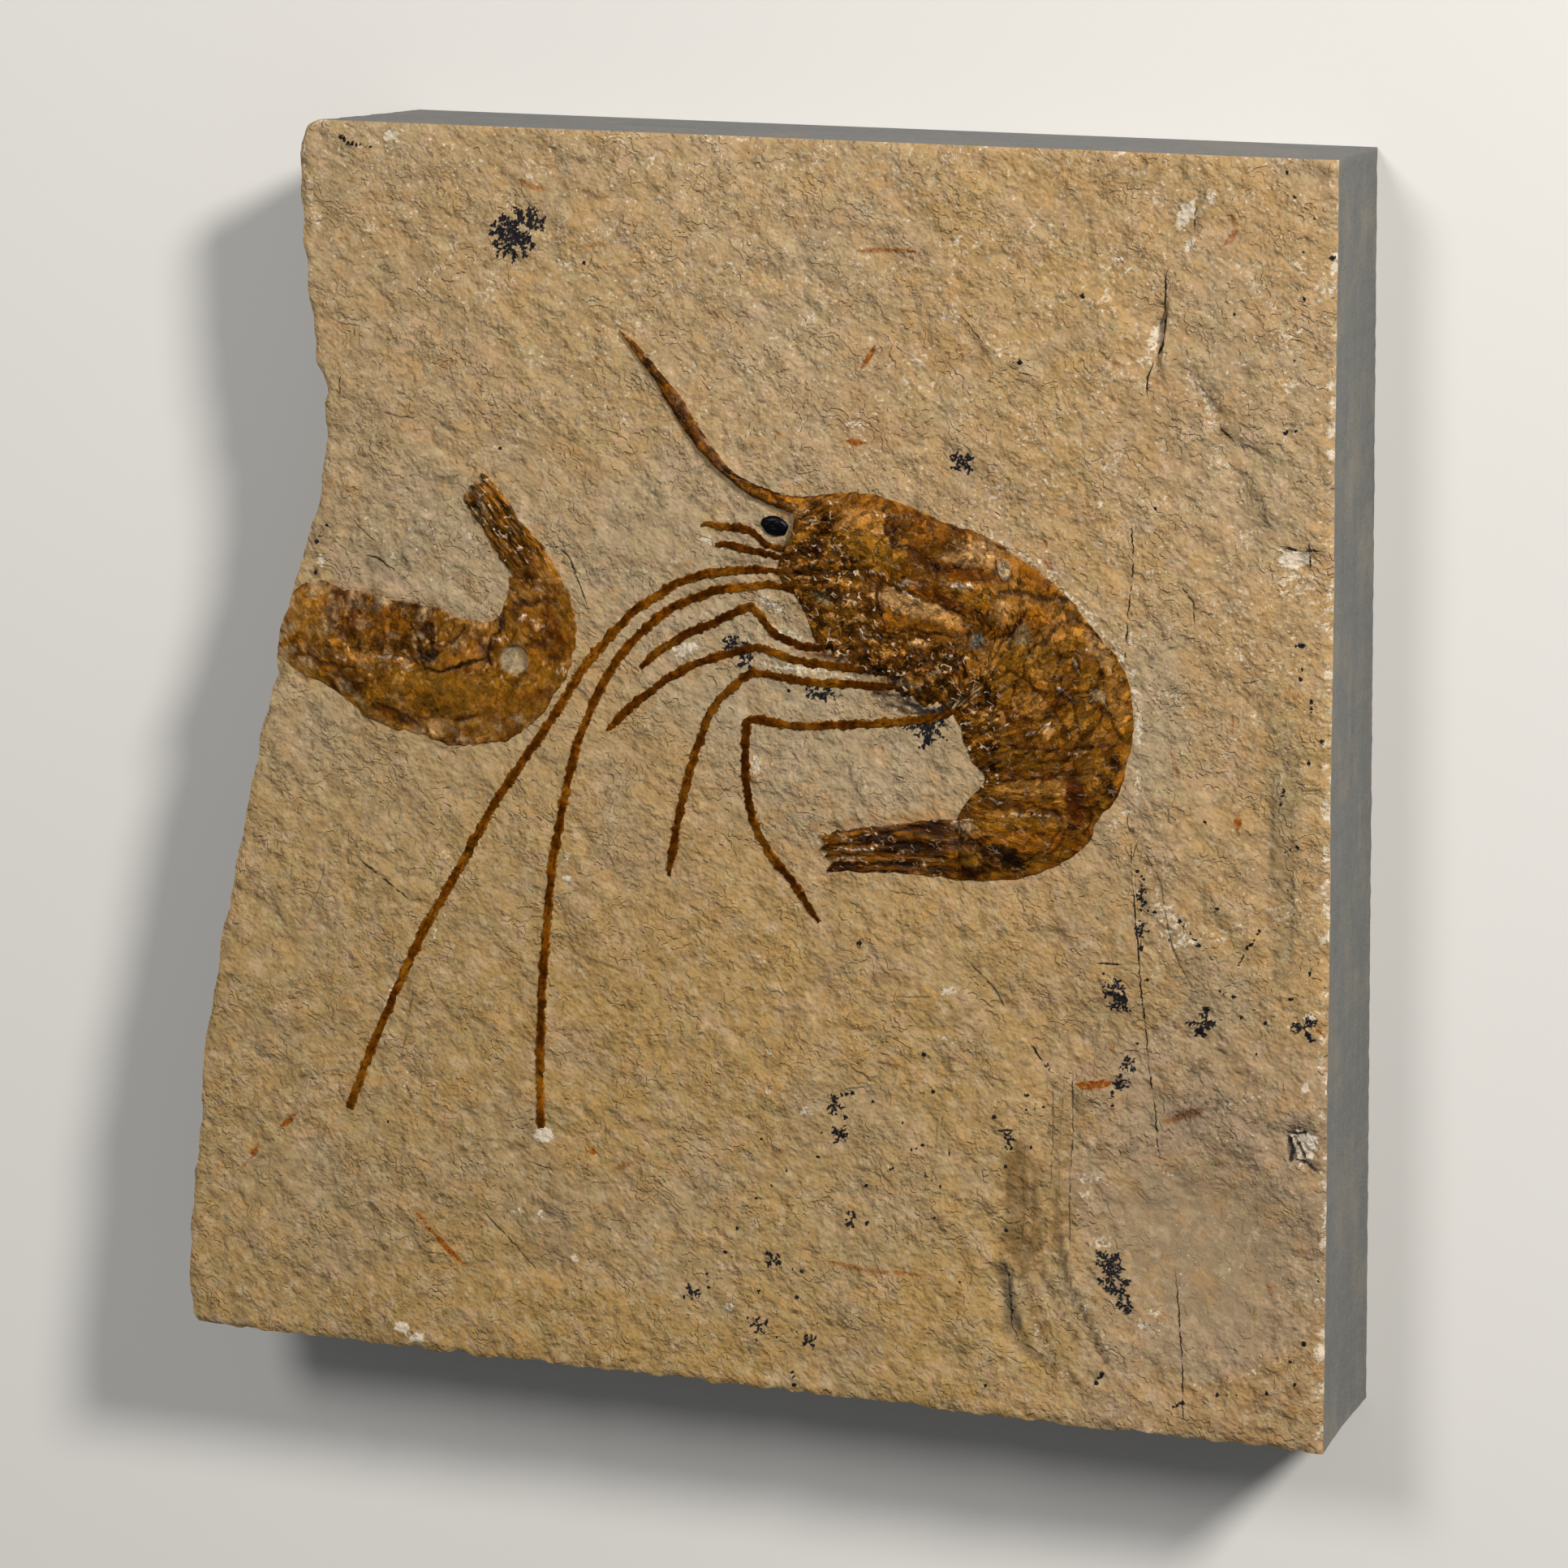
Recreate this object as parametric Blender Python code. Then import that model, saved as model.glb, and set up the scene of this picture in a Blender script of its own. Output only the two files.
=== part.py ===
"""Two fossil shrimps pressed in a slab of limestone, lying on its back.

The slab is sawn square along its top and right sides and broken along its left and bottom sides.
One shrimp is complete and curled, the other is the back half of one, cut off by the broken edge.
Places on the face are drawn in millimetres, +X to the right and +Y up the slab, and made in metres.
"""

import math

import bpy
import bmesh
from mathutils import Vector

# Driving dimensions, in millimetres
MM = 0.001
FACE_CENTRE = (-0.33, -0.03)      # drawing point that the part's origin lies under
THICKNESS = 15.55                 # of the slab at the drawing's origin
TAPER = 0.0165                    # thickness lost per millimetre towards the top side
TOP_SIDE = 64.14
BOTTOM_SIDE = -64.2
RIGHT_AT_TOP = 60.0
RIGHT_AT_BOTTOM = 62.04
GAP = 0.3                         # clear space between a fossil and the stone around it
BODY_DEPTH = 0.55                 # of a shell's underside below the face
LIMB_DEPTH = 0.4
RIM_HEIGHT = 0.08                 # of a shell's edge above the face
CUTTER_TOP = 3.0                  # pocket cutters reach this far above the face
LIMB_WIDTH = 0.8
ANTENNA_WIDTH = 0.9
ANTENNULE_WIDTH = 0.6
LIMB_RISE = 0.34

# The slab's broken left side, from the bottom corner to the top one
LEFT_SIDE = [
    (-61.8, -64.2), (-62.4, -63.0), (-62.65, -60.5), (-62.7, -57.5), (-62.6, -54.0), (-62.3, -50.0),
    (-61.7, -45.5), (-61.4, -41.5), (-61.3, -38.0), (-60.9, -34.5), (-60.2, -31.0), (-59.5, -27.0),
    (-58.75, -22.5), (-58.4, -20.0), (-57.4, -16.0), (-56.6, -12.0), (-55.9, -8.5), (-55.1, -5.0),
    (-54.3, -1.5), (-53.7, 1.5), (-52.9, 4.5), (-52.0, 6.7), (-51.95, 9.3), (-51.4, 12.0),
    (-50.5, 14.0), (-50.1, 16.2), (-49.2, 19.0), (-48.2, 22.0), (-47.4, 25.0), (-46.8, 28.0),
    (-46.3, 31.0), (-46.6, 33.5), (-46.5, 35.3), (-46.05, 36.3), (-46.6, 37.4), (-47.35, 39.2),
    (-47.7, 42.0), (-48.2, 45.5), (-48.5, 49.5), (-48.9, 53.5), (-49.2, 58.5), (-49.1, 62.0),
    (-48.5, 63.5), (-47.3, TOP_SIDE),
]

# Where the face's columns lie, from the left side to the right one, closer over the ledges
COLUMNS = [
    0.0, 0.035, 0.08, 0.14, 0.2, 0.27, 0.34, 0.41, 0.48, 0.55, 0.62, 0.68, 0.725, 0.745, 0.765,
    0.785, 0.83, 0.88, 0.93, 0.965, 0.985, 1.0,
]

# Each shell runs between two edges: the outer or back edge, and the inner or belly edge
CARAPACE_BACK = [
    (-14.1, 44.4), (-12.2, 43.2), (-10.5, 41.4), (-9.0, 39.5), (-7.6, 37.6), (-6.2, 35.6),
    (-4.7, 33.7), (-3.1, 32.1), (-1.3, 30.6), (0.5, 29.8), (2.3, 29.2), (4.0, 28.85), (5.2, 28.7),
    (6.2, 28.65), (7.2, 28.9), (8.4, 29.1), (9.8, 29.25), (11.2, 29.4), (12.8, 29.4), (14.6, 29.1),
    (16.4, 28.6), (18.2, 28.0), (20.0, 27.3), (22.0, 26.8), (24.2, 26.3), (26.4, 25.2), (28.2, 24.1),
]
CARAPACE_BELLY = [
    (-13.9, 44.2), (-12.9, 42.7), (-11.5, 40.9), (-10.0, 39.1), (-8.8, 37.1), (-7.5, 35.2),
    (-6.0, 33.3), (-4.4, 31.7), (-2.7, 30.4), (-0.9, 29.1), (0.9, 28.1), (3.0, 27.3), (4.9, 26.7),
    (4.9, 25.2), (4.3, 23.5), (3.5, 22.0), (3.7, 20.2), (5.6, 18.5), (6.6, 16.4), (7.6, 14.7),
    (9.8, 13.8), (12.4, 13.0), (14.6, 12.2), (16.4, 10.9), (18.6, 9.9), (21.0, 9.5), (23.2, 9.9),
]
HEAD_START = 12                   # where the rostrum ends and the head begins, counted in edge points

ABDOMEN_BACK = [
    (28.6, 23.9), (30.6, 22.7), (32.6, 21.4), (34.4, 19.7), (36.2, 17.8), (37.9, 15.9), (39.4, 14.1),
    (40.3, 12.2), (40.8, 9.8), (40.9, 7.2), (40.5, 4.6), (40.0, 2.2), (39.0, 0.0), (37.3, -2.0),
    (36.5, -4.3), (33.2, -6.5), (28.6, -8.2), (22.9, -9.0),
]
ABDOMEN_BELLY = [
    (23.6, 9.8), (23.0, 9.2), (22.4, 8.7), (22.1, 8.0), (22.3, 7.2), (22.7, 6.3), (23.1, 5.3),
    (23.4, 4.3), (23.9, 3.3), (24.7, 2.3), (25.3, 1.5), (25.2, 0.8), (24.7, 0.3), (24.2, -0.2),
    (23.7, -0.8), (23.2, -1.5), (22.9, -2.1), (22.6, -2.7),
]
RING_ENDS = [1.8, 4.2, 7.0, 9.6, 12.0]   # where one ring of the abdomen overlaps the next

TAIL_BACK = [
    (22.4, -9.0), (20.0, -8.95), (17.5, -8.95), (15.0, -9.0), (12.5, -9.2), (10.6, -9.35), (9.2, -9.5),
]
TAIL_BELLY = [
    (22.1, -2.8), (20.0, -3.1), (17.3, -3.55), (14.6, -4.1), (12.0, -4.5), (9.8, -5.0), (7.4, -5.4),
]

SECOND_BACK = [
    (-51.6, 8.6), (-49.4, 6.9), (-46.6, 5.9), (-44.0, 4.5), (-41.6, 2.6), (-38.6, 1.7), (-35.6, 1.3),
    (-32.4, 0.5), (-29.0, 0.8), (-25.6, 1.8), (-22.9, 3.6), (-20.9, 6.4), (-19.4, 9.0), (-18.5, 12.2),
    (-18.7, 16.0), (-20.2, 18.9),
]
SECOND_BELLY = [
    (-49.8, 15.8), (-48.4, 16.5), (-46.6, 17.0), (-44.4, 16.1), (-42.0, 15.9), (-39.2, 15.5),
    (-36.4, 15.2), (-33.8, 14.8), (-31.6, 14.0), (-29.6, 13.9), (-28.0, 13.7), (-27.1, 14.5),
    (-26.6, 15.4), (-26.2, 16.4), (-26.0, 17.4), (-25.9, 18.5),
]
SECOND_RING_ENDS = [3.1, 5.6, 8.0, 10.4, 12.8]

SECOND_TAIL_BACK = [
    (-20.6, 19.7), (-22.0, 21.8), (-23.8, 23.5), (-25.4, 25.3), (-27.0, 27.5), (-28.9, 29.1),
]
SECOND_TAIL_BELLY = [
    (-25.9, 19.0), (-27.2, 20.6), (-28.5, 22.5), (-29.7, 24.2), (-30.8, 25.6), (-31.2, 26.9),
]
FAN_LOBES = 5
FAN_TIP_REACH = [0.0, -0.2, 0.5, 0.9, 0.3, 0.7, 0.2, 0.8, 0.5, 0.3, 0.6]   # ragged end, across the fan

EYE_OUTLINE = [
    (1.35, 25.7), (1.7, 26.25), (2.4, 26.5), (3.3, 26.5), (4.0, 26.1), (4.35, 25.4), (4.1, 24.7),
    (3.4, 24.4), (2.4, 24.5), (1.7, 25.0),
]
EYE_RISE = 0.75

LONG_ANTENNAE = [
    [
        (4.6, 21.0), (2.5, 20.95), (0.0, 20.85), (-2.5, 20.5), (-5.0, 20.0), (-8.2, 18.6), (-10.0, 17.3),
        (-12.0, 16.0), (-13.5, 14.5), (-15.0, 12.9), (-17.9, 9.3), (-21.3, 3.9), (-24.7, -1.0),
        (-28.0, -6.0), (-31.3, -12.0), (-35.3, -19.0), (-39.3, -27.3), (-42.5, -34.7), (-44.0, -39.0),
    ],
    [
        (6.4, 18.9), (5.0, 19.05), (2.5, 19.5), (0.0, 19.1), (-2.5, 18.75), (-4.5, 18.1), (-6.8, 17.1),
        (-9.0, 15.8), (-12.2, 12.9), (-14.8, 9.5), (-16.9, 5.4), (-18.5, 1.2), (-20.0, -5.3),
        (-21.2, -13.0), (-22.0, -21.3), (-22.3, -29.7), (-22.2, -39.0),
    ],
]
ANTENNULES = [
    [
        (-5.0, 25.1), (-4.0, 25.25), (-2.4, 25.1), (-0.8, 25.05), (0.3, 24.8), (1.2, 24.2), (2.0, 23.6),
        (4.4, 22.9),
    ],
    [(-3.4, 23.2), (-2.4, 23.35), (-1.0, 23.2), (0.4, 22.85), (1.8, 22.65), (4.4, 22.1)],
]
WALKING_LEGS = [
    [
        (-11.5, 10.0), (-10.0, 11.5), (-8.2, 12.8), (-6.5, 13.9), (-5.0, 14.6), (-3.2, 15.4), (-1.7, 16.2),
        (-0.3, 17.0), (0.7, 17.1), (1.7, 16.0), (3.0, 14.6), (5.0, 13.75), (6.7, 13.4), (8.6, 13.6),
        (10.4, 14.6),
    ],
    [
        (-15.2, 3.3), (-13.5, 5.0), (-12.0, 6.5), (-10.4, 7.7), (-8.8, 9.0), (-7.0, 10.1), (-5.0, 11.1),
        (-2.5, 12.0), (-0.5, 12.6), (1.2, 13.0), (3.0, 12.6), (5.0, 12.1), (7.5, 11.8), (10.0, 11.7),
        (12.5, 11.6), (15.6, 12.4),
    ],
    [
        (-8.2, -11.2), (-8.0, -9.5), (-7.6, -7.5), (-7.2, -5.2), (-6.6, -2.7), (-6.1, -0.7), (-5.6, 1.2),
        (-4.7, 3.7), (-4.0, 5.7), (-2.8, 7.5), (-1.5, 8.7), (-0.2, 9.8), (1.3, 10.4), (3.8, 10.2),
        (7.5, 9.9), (10.0, 10.0), (13.0, 10.0), (15.4, 10.1), (18.4, 10.7),
    ],
    [
        (8.2, -14.6), (6.5, -12.5), (5.0, -10.5), (3.2, -8.5), (1.8, -6.5), (0.9, -4.5), (0.4, -2.0),
        (0.1, 0.5), (0.05, 3.0), (0.2, 4.8), (1.0, 5.7), (2.8, 5.6), (5.0, 5.4), (7.5, 5.5),
        (10.0, 5.8), (14.0, 6.2), (18.0, 6.8), (20.2, 7.3), (23.6, 8.6),
    ],
]

# Colours of the stone and of the varnished brown shell
STONE = (0.41, 0.29, 0.155)
SHELL = (0.19, 0.075, 0.018)
PALE_SHELL = (0.27, 0.14, 0.05)
DARK_SHELL = (0.10, 0.032, 0.008)
BLACK = (0.004, 0.004, 0.006)


def clear_scene():
    for thing in list(bpy.data.objects):
        bpy.data.objects.remove(thing, do_unlink=True)


def make_material(name, colour, roughness):
    """A plain non-metal with one colour."""
    material = bpy.data.materials.new(name)
    material.use_nodes = True
    shader = material.node_tree.nodes["Principled BSDF"]
    shader.inputs["Base Color"].default_value = (*colour, 1.0)
    shader.inputs["Roughness"].default_value = roughness
    shader.inputs["Metallic"].default_value = 0.0
    material.diffuse_color = (*colour, 1.0)
    return material


def ramp(value, start, end):
    """Rises smoothly from 0 at start to 1 at end."""
    t = min(1.0, max(0.0, (value - start) / (end - start)))
    return t * t * (3.0 - 2.0 * t)


def bump(distance, width):
    """1 at no distance, falling away over the width."""
    return math.exp(-(distance / width) ** 2)


def plane(x, y):
    """Height of the slab's flat mean face."""
    return THICKNESS - TAPER * y


def ledges(x, y):
    """Three thin layers that step down to the right in the lower right quarter."""
    shift = 0.7 * max(0.0, -47.0 - y) - 0.75 * max(0.0, y + 27.0)
    reach = ramp(y, -63.0, -58.0) * (1.0 - ramp(y, -24.0, -16.0))
    steps = sum(drop * ramp(x - shift, edge, edge + 1.4)
                for edge, drop in ((28.4, 0.2), (31.4, 0.2), (34.2, 0.3)))
    return -steps * reach * (1.0 - ramp(x, 42.0, 58.0))


def flake_step(x, y):
    """A thin flake gone from the upper right quarter, below a broken line."""
    edge_x = 45.0 + (45.0 - y) * 0.75
    reach = ramp(y, 27.0, 31.0) * (1.0 - ramp(y, 42.0, 46.0))
    return -0.3 * ramp(x, edge_x - 0.4, edge_x + 0.9) * (1.0 - ramp(x, edge_x + 3.0, edge_x + 9.0)) * reach


def relief(x, y):
    """Height of the natural surface over the mean face."""
    waves = 0.1 * math.sin(0.21 * x + 0.9) * math.cos(0.17 * y - 0.5)
    waves += 0.07 * math.sin(0.11 * x - 0.23 * y + 1.7)
    pit = -0.7 * bump(x - 42.2, 1.7) * bump(y - 46.7, 2.9)
    spalls = -0.4 * bump(x - 57.6, 2.3) * bump(y - 24.6, 2.0)
    spalls -= 0.6 * bump(x - 59.2, 2.0) * bump(y + 33.0, 2.2)
    return waves + pit + spalls + ledges(x, y) + flake_step(x, y)


def face(x, y):
    return plane(x, y) + relief(x, y)


def point(x, y, z):
    """A drawing point in millimetres as a place in the part, in metres."""
    return Vector(((x - FACE_CENTRE[0]) * MM, (y - FACE_CENTRE[1]) * MM, z * MM))


def curve_point(points, u):
    """The point at u on the smooth curve through a list of points, counted in points."""
    last = len(points) - 1
    i = min(int(u), last - 1)
    t = u - i
    p1 = Vector(points[i])
    p2 = Vector(points[i + 1])
    p0 = Vector(points[i - 1]) if i > 0 else 2 * p1 - p2
    p3 = Vector(points[i + 2]) if i + 2 <= last else 2 * p2 - p1
    return 0.5 * (2 * p1 + (p2 - p0) * t + (2 * p0 - 5 * p1 + 4 * p2 - p3) * t * t
                  + (3 * p1 - p0 - 3 * p2 + p3) * t ** 3)


def add_object(name, vertices, faces, material, smooth_angle=None):
    """An object from points in metres, with its faces turned outwards."""
    mesh = bpy.data.meshes.new(name)
    mesh.from_pydata(vertices, [], faces)
    shape = bmesh.new()
    shape.from_mesh(mesh)
    bmesh.ops.triangulate(shape, faces=[f for f in shape.faces if len(f.verts) > 4])
    bmesh.ops.recalc_face_normals(shape, faces=shape.faces)
    shape.to_mesh(mesh)
    shape.free()
    if material:
        mesh.materials.append(material)
    if smooth_angle:
        mesh.shade_smooth()
        mesh.set_sharp_from_angle(angle=math.radians(smooth_angle))
    thing = bpy.data.objects.new(name, mesh)
    bpy.context.scene.collection.objects.link(thing)
    return thing


def border(rows, columns):
    """Indices of a grid's outer points, once round."""
    loop = [c for c in range(columns)]
    loop += [r * columns + columns - 1 for r in range(1, rows)]
    loop += [(rows - 1) * columns + c for c in range(columns - 2, -1, -1)]
    loop += [r * columns for r in range(rows - 2, 0, -1)]
    return loop


def grid_faces(rows, columns):
    return [
        (r * columns + c, r * columns + c + 1, (r + 1) * columns + c + 1, (r + 1) * columns + c)
        for r in range(rows - 1) for c in range(columns - 1)
    ]


def shell(name, grid, columns, depth, material):
    """A thin plate: a grid of (x, y, height over the face) on top, and a flat underside."""
    rows = len(grid) // columns
    loop = border(rows, columns)
    vertices = [point(x, y, face(x, y) + rise) for x, y, rise in grid]
    faces = grid_faces(rows, columns)
    base = len(vertices)
    for index in loop:
        x, y, _ = grid[index]
        vertices.append(point(x, y, plane(x, y) - depth))
    count = len(loop)
    for k in range(count):
        following = (k + 1) % count
        faces.append((loop[k], loop[following], base + following, base + k))
    faces.append([base + k for k in range(count)])
    outline = [(grid[index][0], grid[index][1]) for index in loop]
    return add_object(name, vertices, faces, material, smooth_angle=35), outline


def grown(outline, amount):
    """The outline moved outwards by an amount."""
    area = sum(a[0] * b[1] - b[0] * a[1] for a, b in zip(outline, outline[1:] + outline[:1]))
    side = 1.0 if area > 0 else -1.0
    result = []
    count = len(outline)
    for k in range(count):
        before = (Vector(outline[k]) - Vector(outline[k - 1])).normalized()
        after = (Vector(outline[(k + 1) % count]) - Vector(outline[k])).normalized()
        normal = Vector((before.y + after.y, -before.x - after.x)) * side
        normal.normalize()
        lean = max(0.5, normal.dot(Vector((before.y, -before.x)) * side))
        moved = Vector(outline[k]) + normal * amount / lean
        result.append((moved.x, moved.y))
    return result


def pocket_cutter(name, outline, depth):
    """A hidden prism round a fossil, with the clear gap at its sides and below it."""
    wide = grown(outline, GAP)
    count = len(wide)
    vertices = [point(x, y, plane(x, y) - depth - GAP) for x, y in wide]
    vertices += [point(x, y, plane(x, y) + CUTTER_TOP) for x, y in wide]
    faces = [[k for k in range(count)], [count + k for k in range(count)]]
    faces += [(k, (k + 1) % count, count + (k + 1) % count, count + k) for k in range(count)]
    cutter = add_object(name, vertices, faces, None)
    cutter.hide_render = True
    cutter.display_type = "WIRE"
    return cutter


def cut(thing, cutter):
    modifier = thing.modifiers.new("cut by " + cutter.name, "BOOLEAN")
    modifier.operation = "DIFFERENCE"
    modifier.solver = "EXACT"
    modifier.object = cutter


def stations(last, breaks, spacing):
    """Places along a shell, close together on both sides of each break."""
    lip = 0.06
    marks = [0.0]
    for stop in [*breaks, last]:
        start = marks[-1]
        end = stop - lip if stop < last else last
        pieces = max(1, round((end - start) / spacing))
        marks += [start + (end - start) * (k + 1) / pieces for k in range(pieces)]
        if stop < last:
            marks.append(stop + lip)
    return marks


def between(back, belly, u, t, bow=0.0):
    """A point across a shell, from its back edge at 0 to its belly edge at 1, bowed forwards."""
    a = curve_point(back, u)
    b = curve_point(belly, u)
    across = b - a
    push = Vector((across.y, -across.x)).normalized() * bow * 4.0 * t * (1.0 - t)
    return a + across * t + push


def crown(t, roundness=2.2):
    """Height across a shell: 0 at both edges and 1 in the middle."""
    return 1.0 - abs(2.0 * t - 1.0) ** roundness


def make_carapace(material):
    """Head and chest shell with its rostrum, crossed by the groove over the gill chamber."""
    columns = 10
    grid = []
    last = len(CARAPACE_BACK) - 1
    marks = [HEAD_START * k / 11 for k in range(11)]
    marks += [HEAD_START + (last - HEAD_START) * k / 23 for k in range(24)]
    for u in marks:
        for c in range(columns):
            t = c / (columns - 1)
            bow = -1.5 * ramp(u, 20.0, 26.0)
            x, y = between(CARAPACE_BACK, CARAPACE_BELLY, u, t, bow)
            width = ramp(u, 0.0, HEAD_START + 3.0)
            rise = RIM_HEIGHT + (0.3 + 0.45 * width) * crown(t)
            rise -= 0.28 * bump(t - 0.52, 0.09) * ramp(u, 17.0, 20.0)
            rise += 0.12 * bump(t - 0.25, 0.12) * ramp(u, 15.0, 18.0)
            grid.append((x, y, rise))
    return shell("carapace", grid, columns, BODY_DEPTH, material)


def ring_step(u, ends, height):
    """Each ring rises towards its back end and drops to the next one there."""
    start = 0.0
    for end in ends:
        if u < end:
            return height * (u - start) / (end - start)
        start = end
    return 0.0


def make_rings(name, back, belly, ring_ends, columns, rise, material):
    """A row of overlapping body rings between two edges."""
    last = len(back) - 1
    grid = []
    for u in stations(last, ring_ends, 0.8):
        for c in range(columns):
            t = c / (columns - 1)
            bow = -1.3 * (1.0 - ramp(u, 0.0, 0.6 * last))
            x, y = between(back, belly, u, t, bow)
            height = RIM_HEIGHT + rise * crown(t) + ring_step(u, ring_ends, 0.24) * crown(t, 4.0)
            grid.append((x, y, height))
    return shell(name, grid, columns, BODY_DEPTH, material)


def make_fan(name, back, belly, material):
    """Tail blades side by side, each with a ridge, ending in ragged tips."""
    columns = 2 * FAN_LOBES + 1
    last = len(back) - 1
    rows = 10
    grid = []
    for r in range(rows):
        share = r / (rows - 1)
        for c in range(columns):
            t = c / (columns - 1)
            u = last * share
            place = between(back, belly, u, t)
            along = (place - between(back, belly, max(0.0, u - 0.2), t)).normalized() if r else Vector((0, 0))
            place = place - along * FAN_TIP_REACH[c] * ramp(share, 0.6, 1.0)
            ridge = 0.22 * (c % 2) * ramp(share, 0.0, 0.25)
            grid.append((place.x, place.y, RIM_HEIGHT + 0.18 * crown(t) + ridge))
    return shell(name, grid, columns, BODY_DEPTH, material)


def make_eye(material):
    """A flattened black eye with a domed top."""
    centre = sum((Vector(p) for p in EYE_OUTLINE), Vector((0, 0))) / len(EYE_OUTLINE)
    vertices = []
    rings = ((1.0, -BODY_DEPTH), (1.0, 0.15), (0.82, 0.5), (0.48, 0.7))
    for size, height in rings:
        for p in EYE_OUTLINE:
            x, y = centre + (Vector(p) - centre) * size
            vertices.append(point(x, y, plane(x, y) + height))
    count = len(EYE_OUTLINE)
    faces = [[k for k in range(count)]]
    for ring in range(len(rings) - 1):
        for k in range(count):
            following = (k + 1) % count
            low = ring * count
            faces.append((low + k, low + following, low + count + following, low + count + k))
    top = len(vertices)
    vertices.append(point(centre.x, centre.y, plane(centre.x, centre.y) + EYE_RISE))
    high = (len(rings) - 1) * count
    faces += [(high + k, high + (k + 1) % count, top) for k in range(count)]
    return add_object("eye", vertices, faces, material, smooth_angle=50), list(EYE_OUTLINE)


def make_limb(name, path, width, pieces, material):
    """A thin rod with a flat underside and a ridged top, laid along a path on the face."""
    last = len(path) - 1
    centres = [curve_point(path, last * k / pieces) for k in range(pieces + 1)]
    vertices = []
    left = []
    right = []
    for k, centre in enumerate(centres):
        ahead = centres[min(k + 1, pieces)]
        behind = centres[max(k - 1, 0)]
        along = (ahead - behind).normalized()
        side = Vector((-along.y, along.x))
        half = 0.5 * width * (0.35 + 0.65 * ramp(k / pieces, 0.0, 0.12))
        half *= 1.0 + 0.12 * (k % 2)
        a = centre + side * half
        b = centre - side * half
        left.append((a.x, a.y))
        right.append((b.x, b.y))
        vertices.append(point(a.x, a.y, plane(a.x, a.y) - LIMB_DEPTH))
        vertices.append(point(b.x, b.y, plane(b.x, b.y) - LIMB_DEPTH))
        vertices.append(point(b.x, b.y, face(b.x, b.y) + 0.04))
        vertices.append(point(centre.x, centre.y, face(centre.x, centre.y) + LIMB_RISE))
        vertices.append(point(a.x, a.y, face(a.x, a.y) + 0.04))
    sides = 5
    faces = [[s for s in range(sides)], [pieces * sides + s for s in range(sides)]]
    for k in range(pieces):
        for s in range(sides):
            following = (s + 1) % sides
            low = k * sides
            faces.append((low + s, low + following, low + sides + following, low + sides + s))
    outline = left + right[::-1]
    return add_object(name, vertices, faces, material, smooth_angle=30), outline


def right_side(y):
    share = (TOP_SIDE - y) / (TOP_SIDE - BOTTOM_SIDE)
    return RIGHT_AT_TOP + (RIGHT_AT_BOTTOM - RIGHT_AT_TOP) * share


def undercut(x, y, level, share):
    """How far a broken side draws back under the face, at a level from 1 at the face to 0 at the back."""
    depth = 1.0 - level
    rough = 0.5 * math.sin(0.9 * y + 4.0 * level) + 0.4 * math.sin(2.3 * y + 1.0) * level
    corner = 2.6 * ramp(y, 38.0, 60.0)
    left = max(0.0, (1.9 + corner) * depth ** 0.7 + rough * min(1.0, 3.0 * depth))
    chips = 0.35 * math.sin(0.7 * x + 3.0 * level) + 0.25 * math.sin(1.9 * x)
    bottom = max(0.0, 1.1 * depth ** 0.6 + chips * min(1.0, 3.0 * depth))
    return left * max(0.0, 1.0 - share / 0.14), bottom * max(0.0, 1.0 - (y - BOTTOM_SIDE) / 6.0)


def make_slab(material):
    """The stone: a natural face, four side walls and a flat back."""
    rows = len(LEFT_SIDE)
    columns = len(COLUMNS)
    places = []
    for left, y in LEFT_SIDE:
        right = right_side(y)
        places += [(left + (right - left) * share, y) for share in COLUMNS]
    loop = border(rows, columns)
    vertices = []
    for index, (x, y) in enumerate(places):
        worn = 0.3 if index in loop and (index % columns == 0 or index < columns) else 0.0
        vertices.append(point(x, y, face(x, y) - worn))
    faces = grid_faces(rows, columns)
    above = loop
    count = len(loop)
    for level in (0.68, 0.32, 0.0):
        base = len(vertices)
        for index in loop:
            x, y = places[index]
            inward_x, inward_y = undercut(x, y, level, COLUMNS[index % columns])
            vertices.append(point(x + inward_x, y + inward_y, plane(x, y) * level))
        below = [base + k for k in range(count)]
        for k in range(count):
            following = (k + 1) % count
            faces.append((above[k], above[following], below[following], below[k]))
        above = below
    faces.append(above)
    return add_object("limestone_slab", vertices, faces, material)


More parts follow.
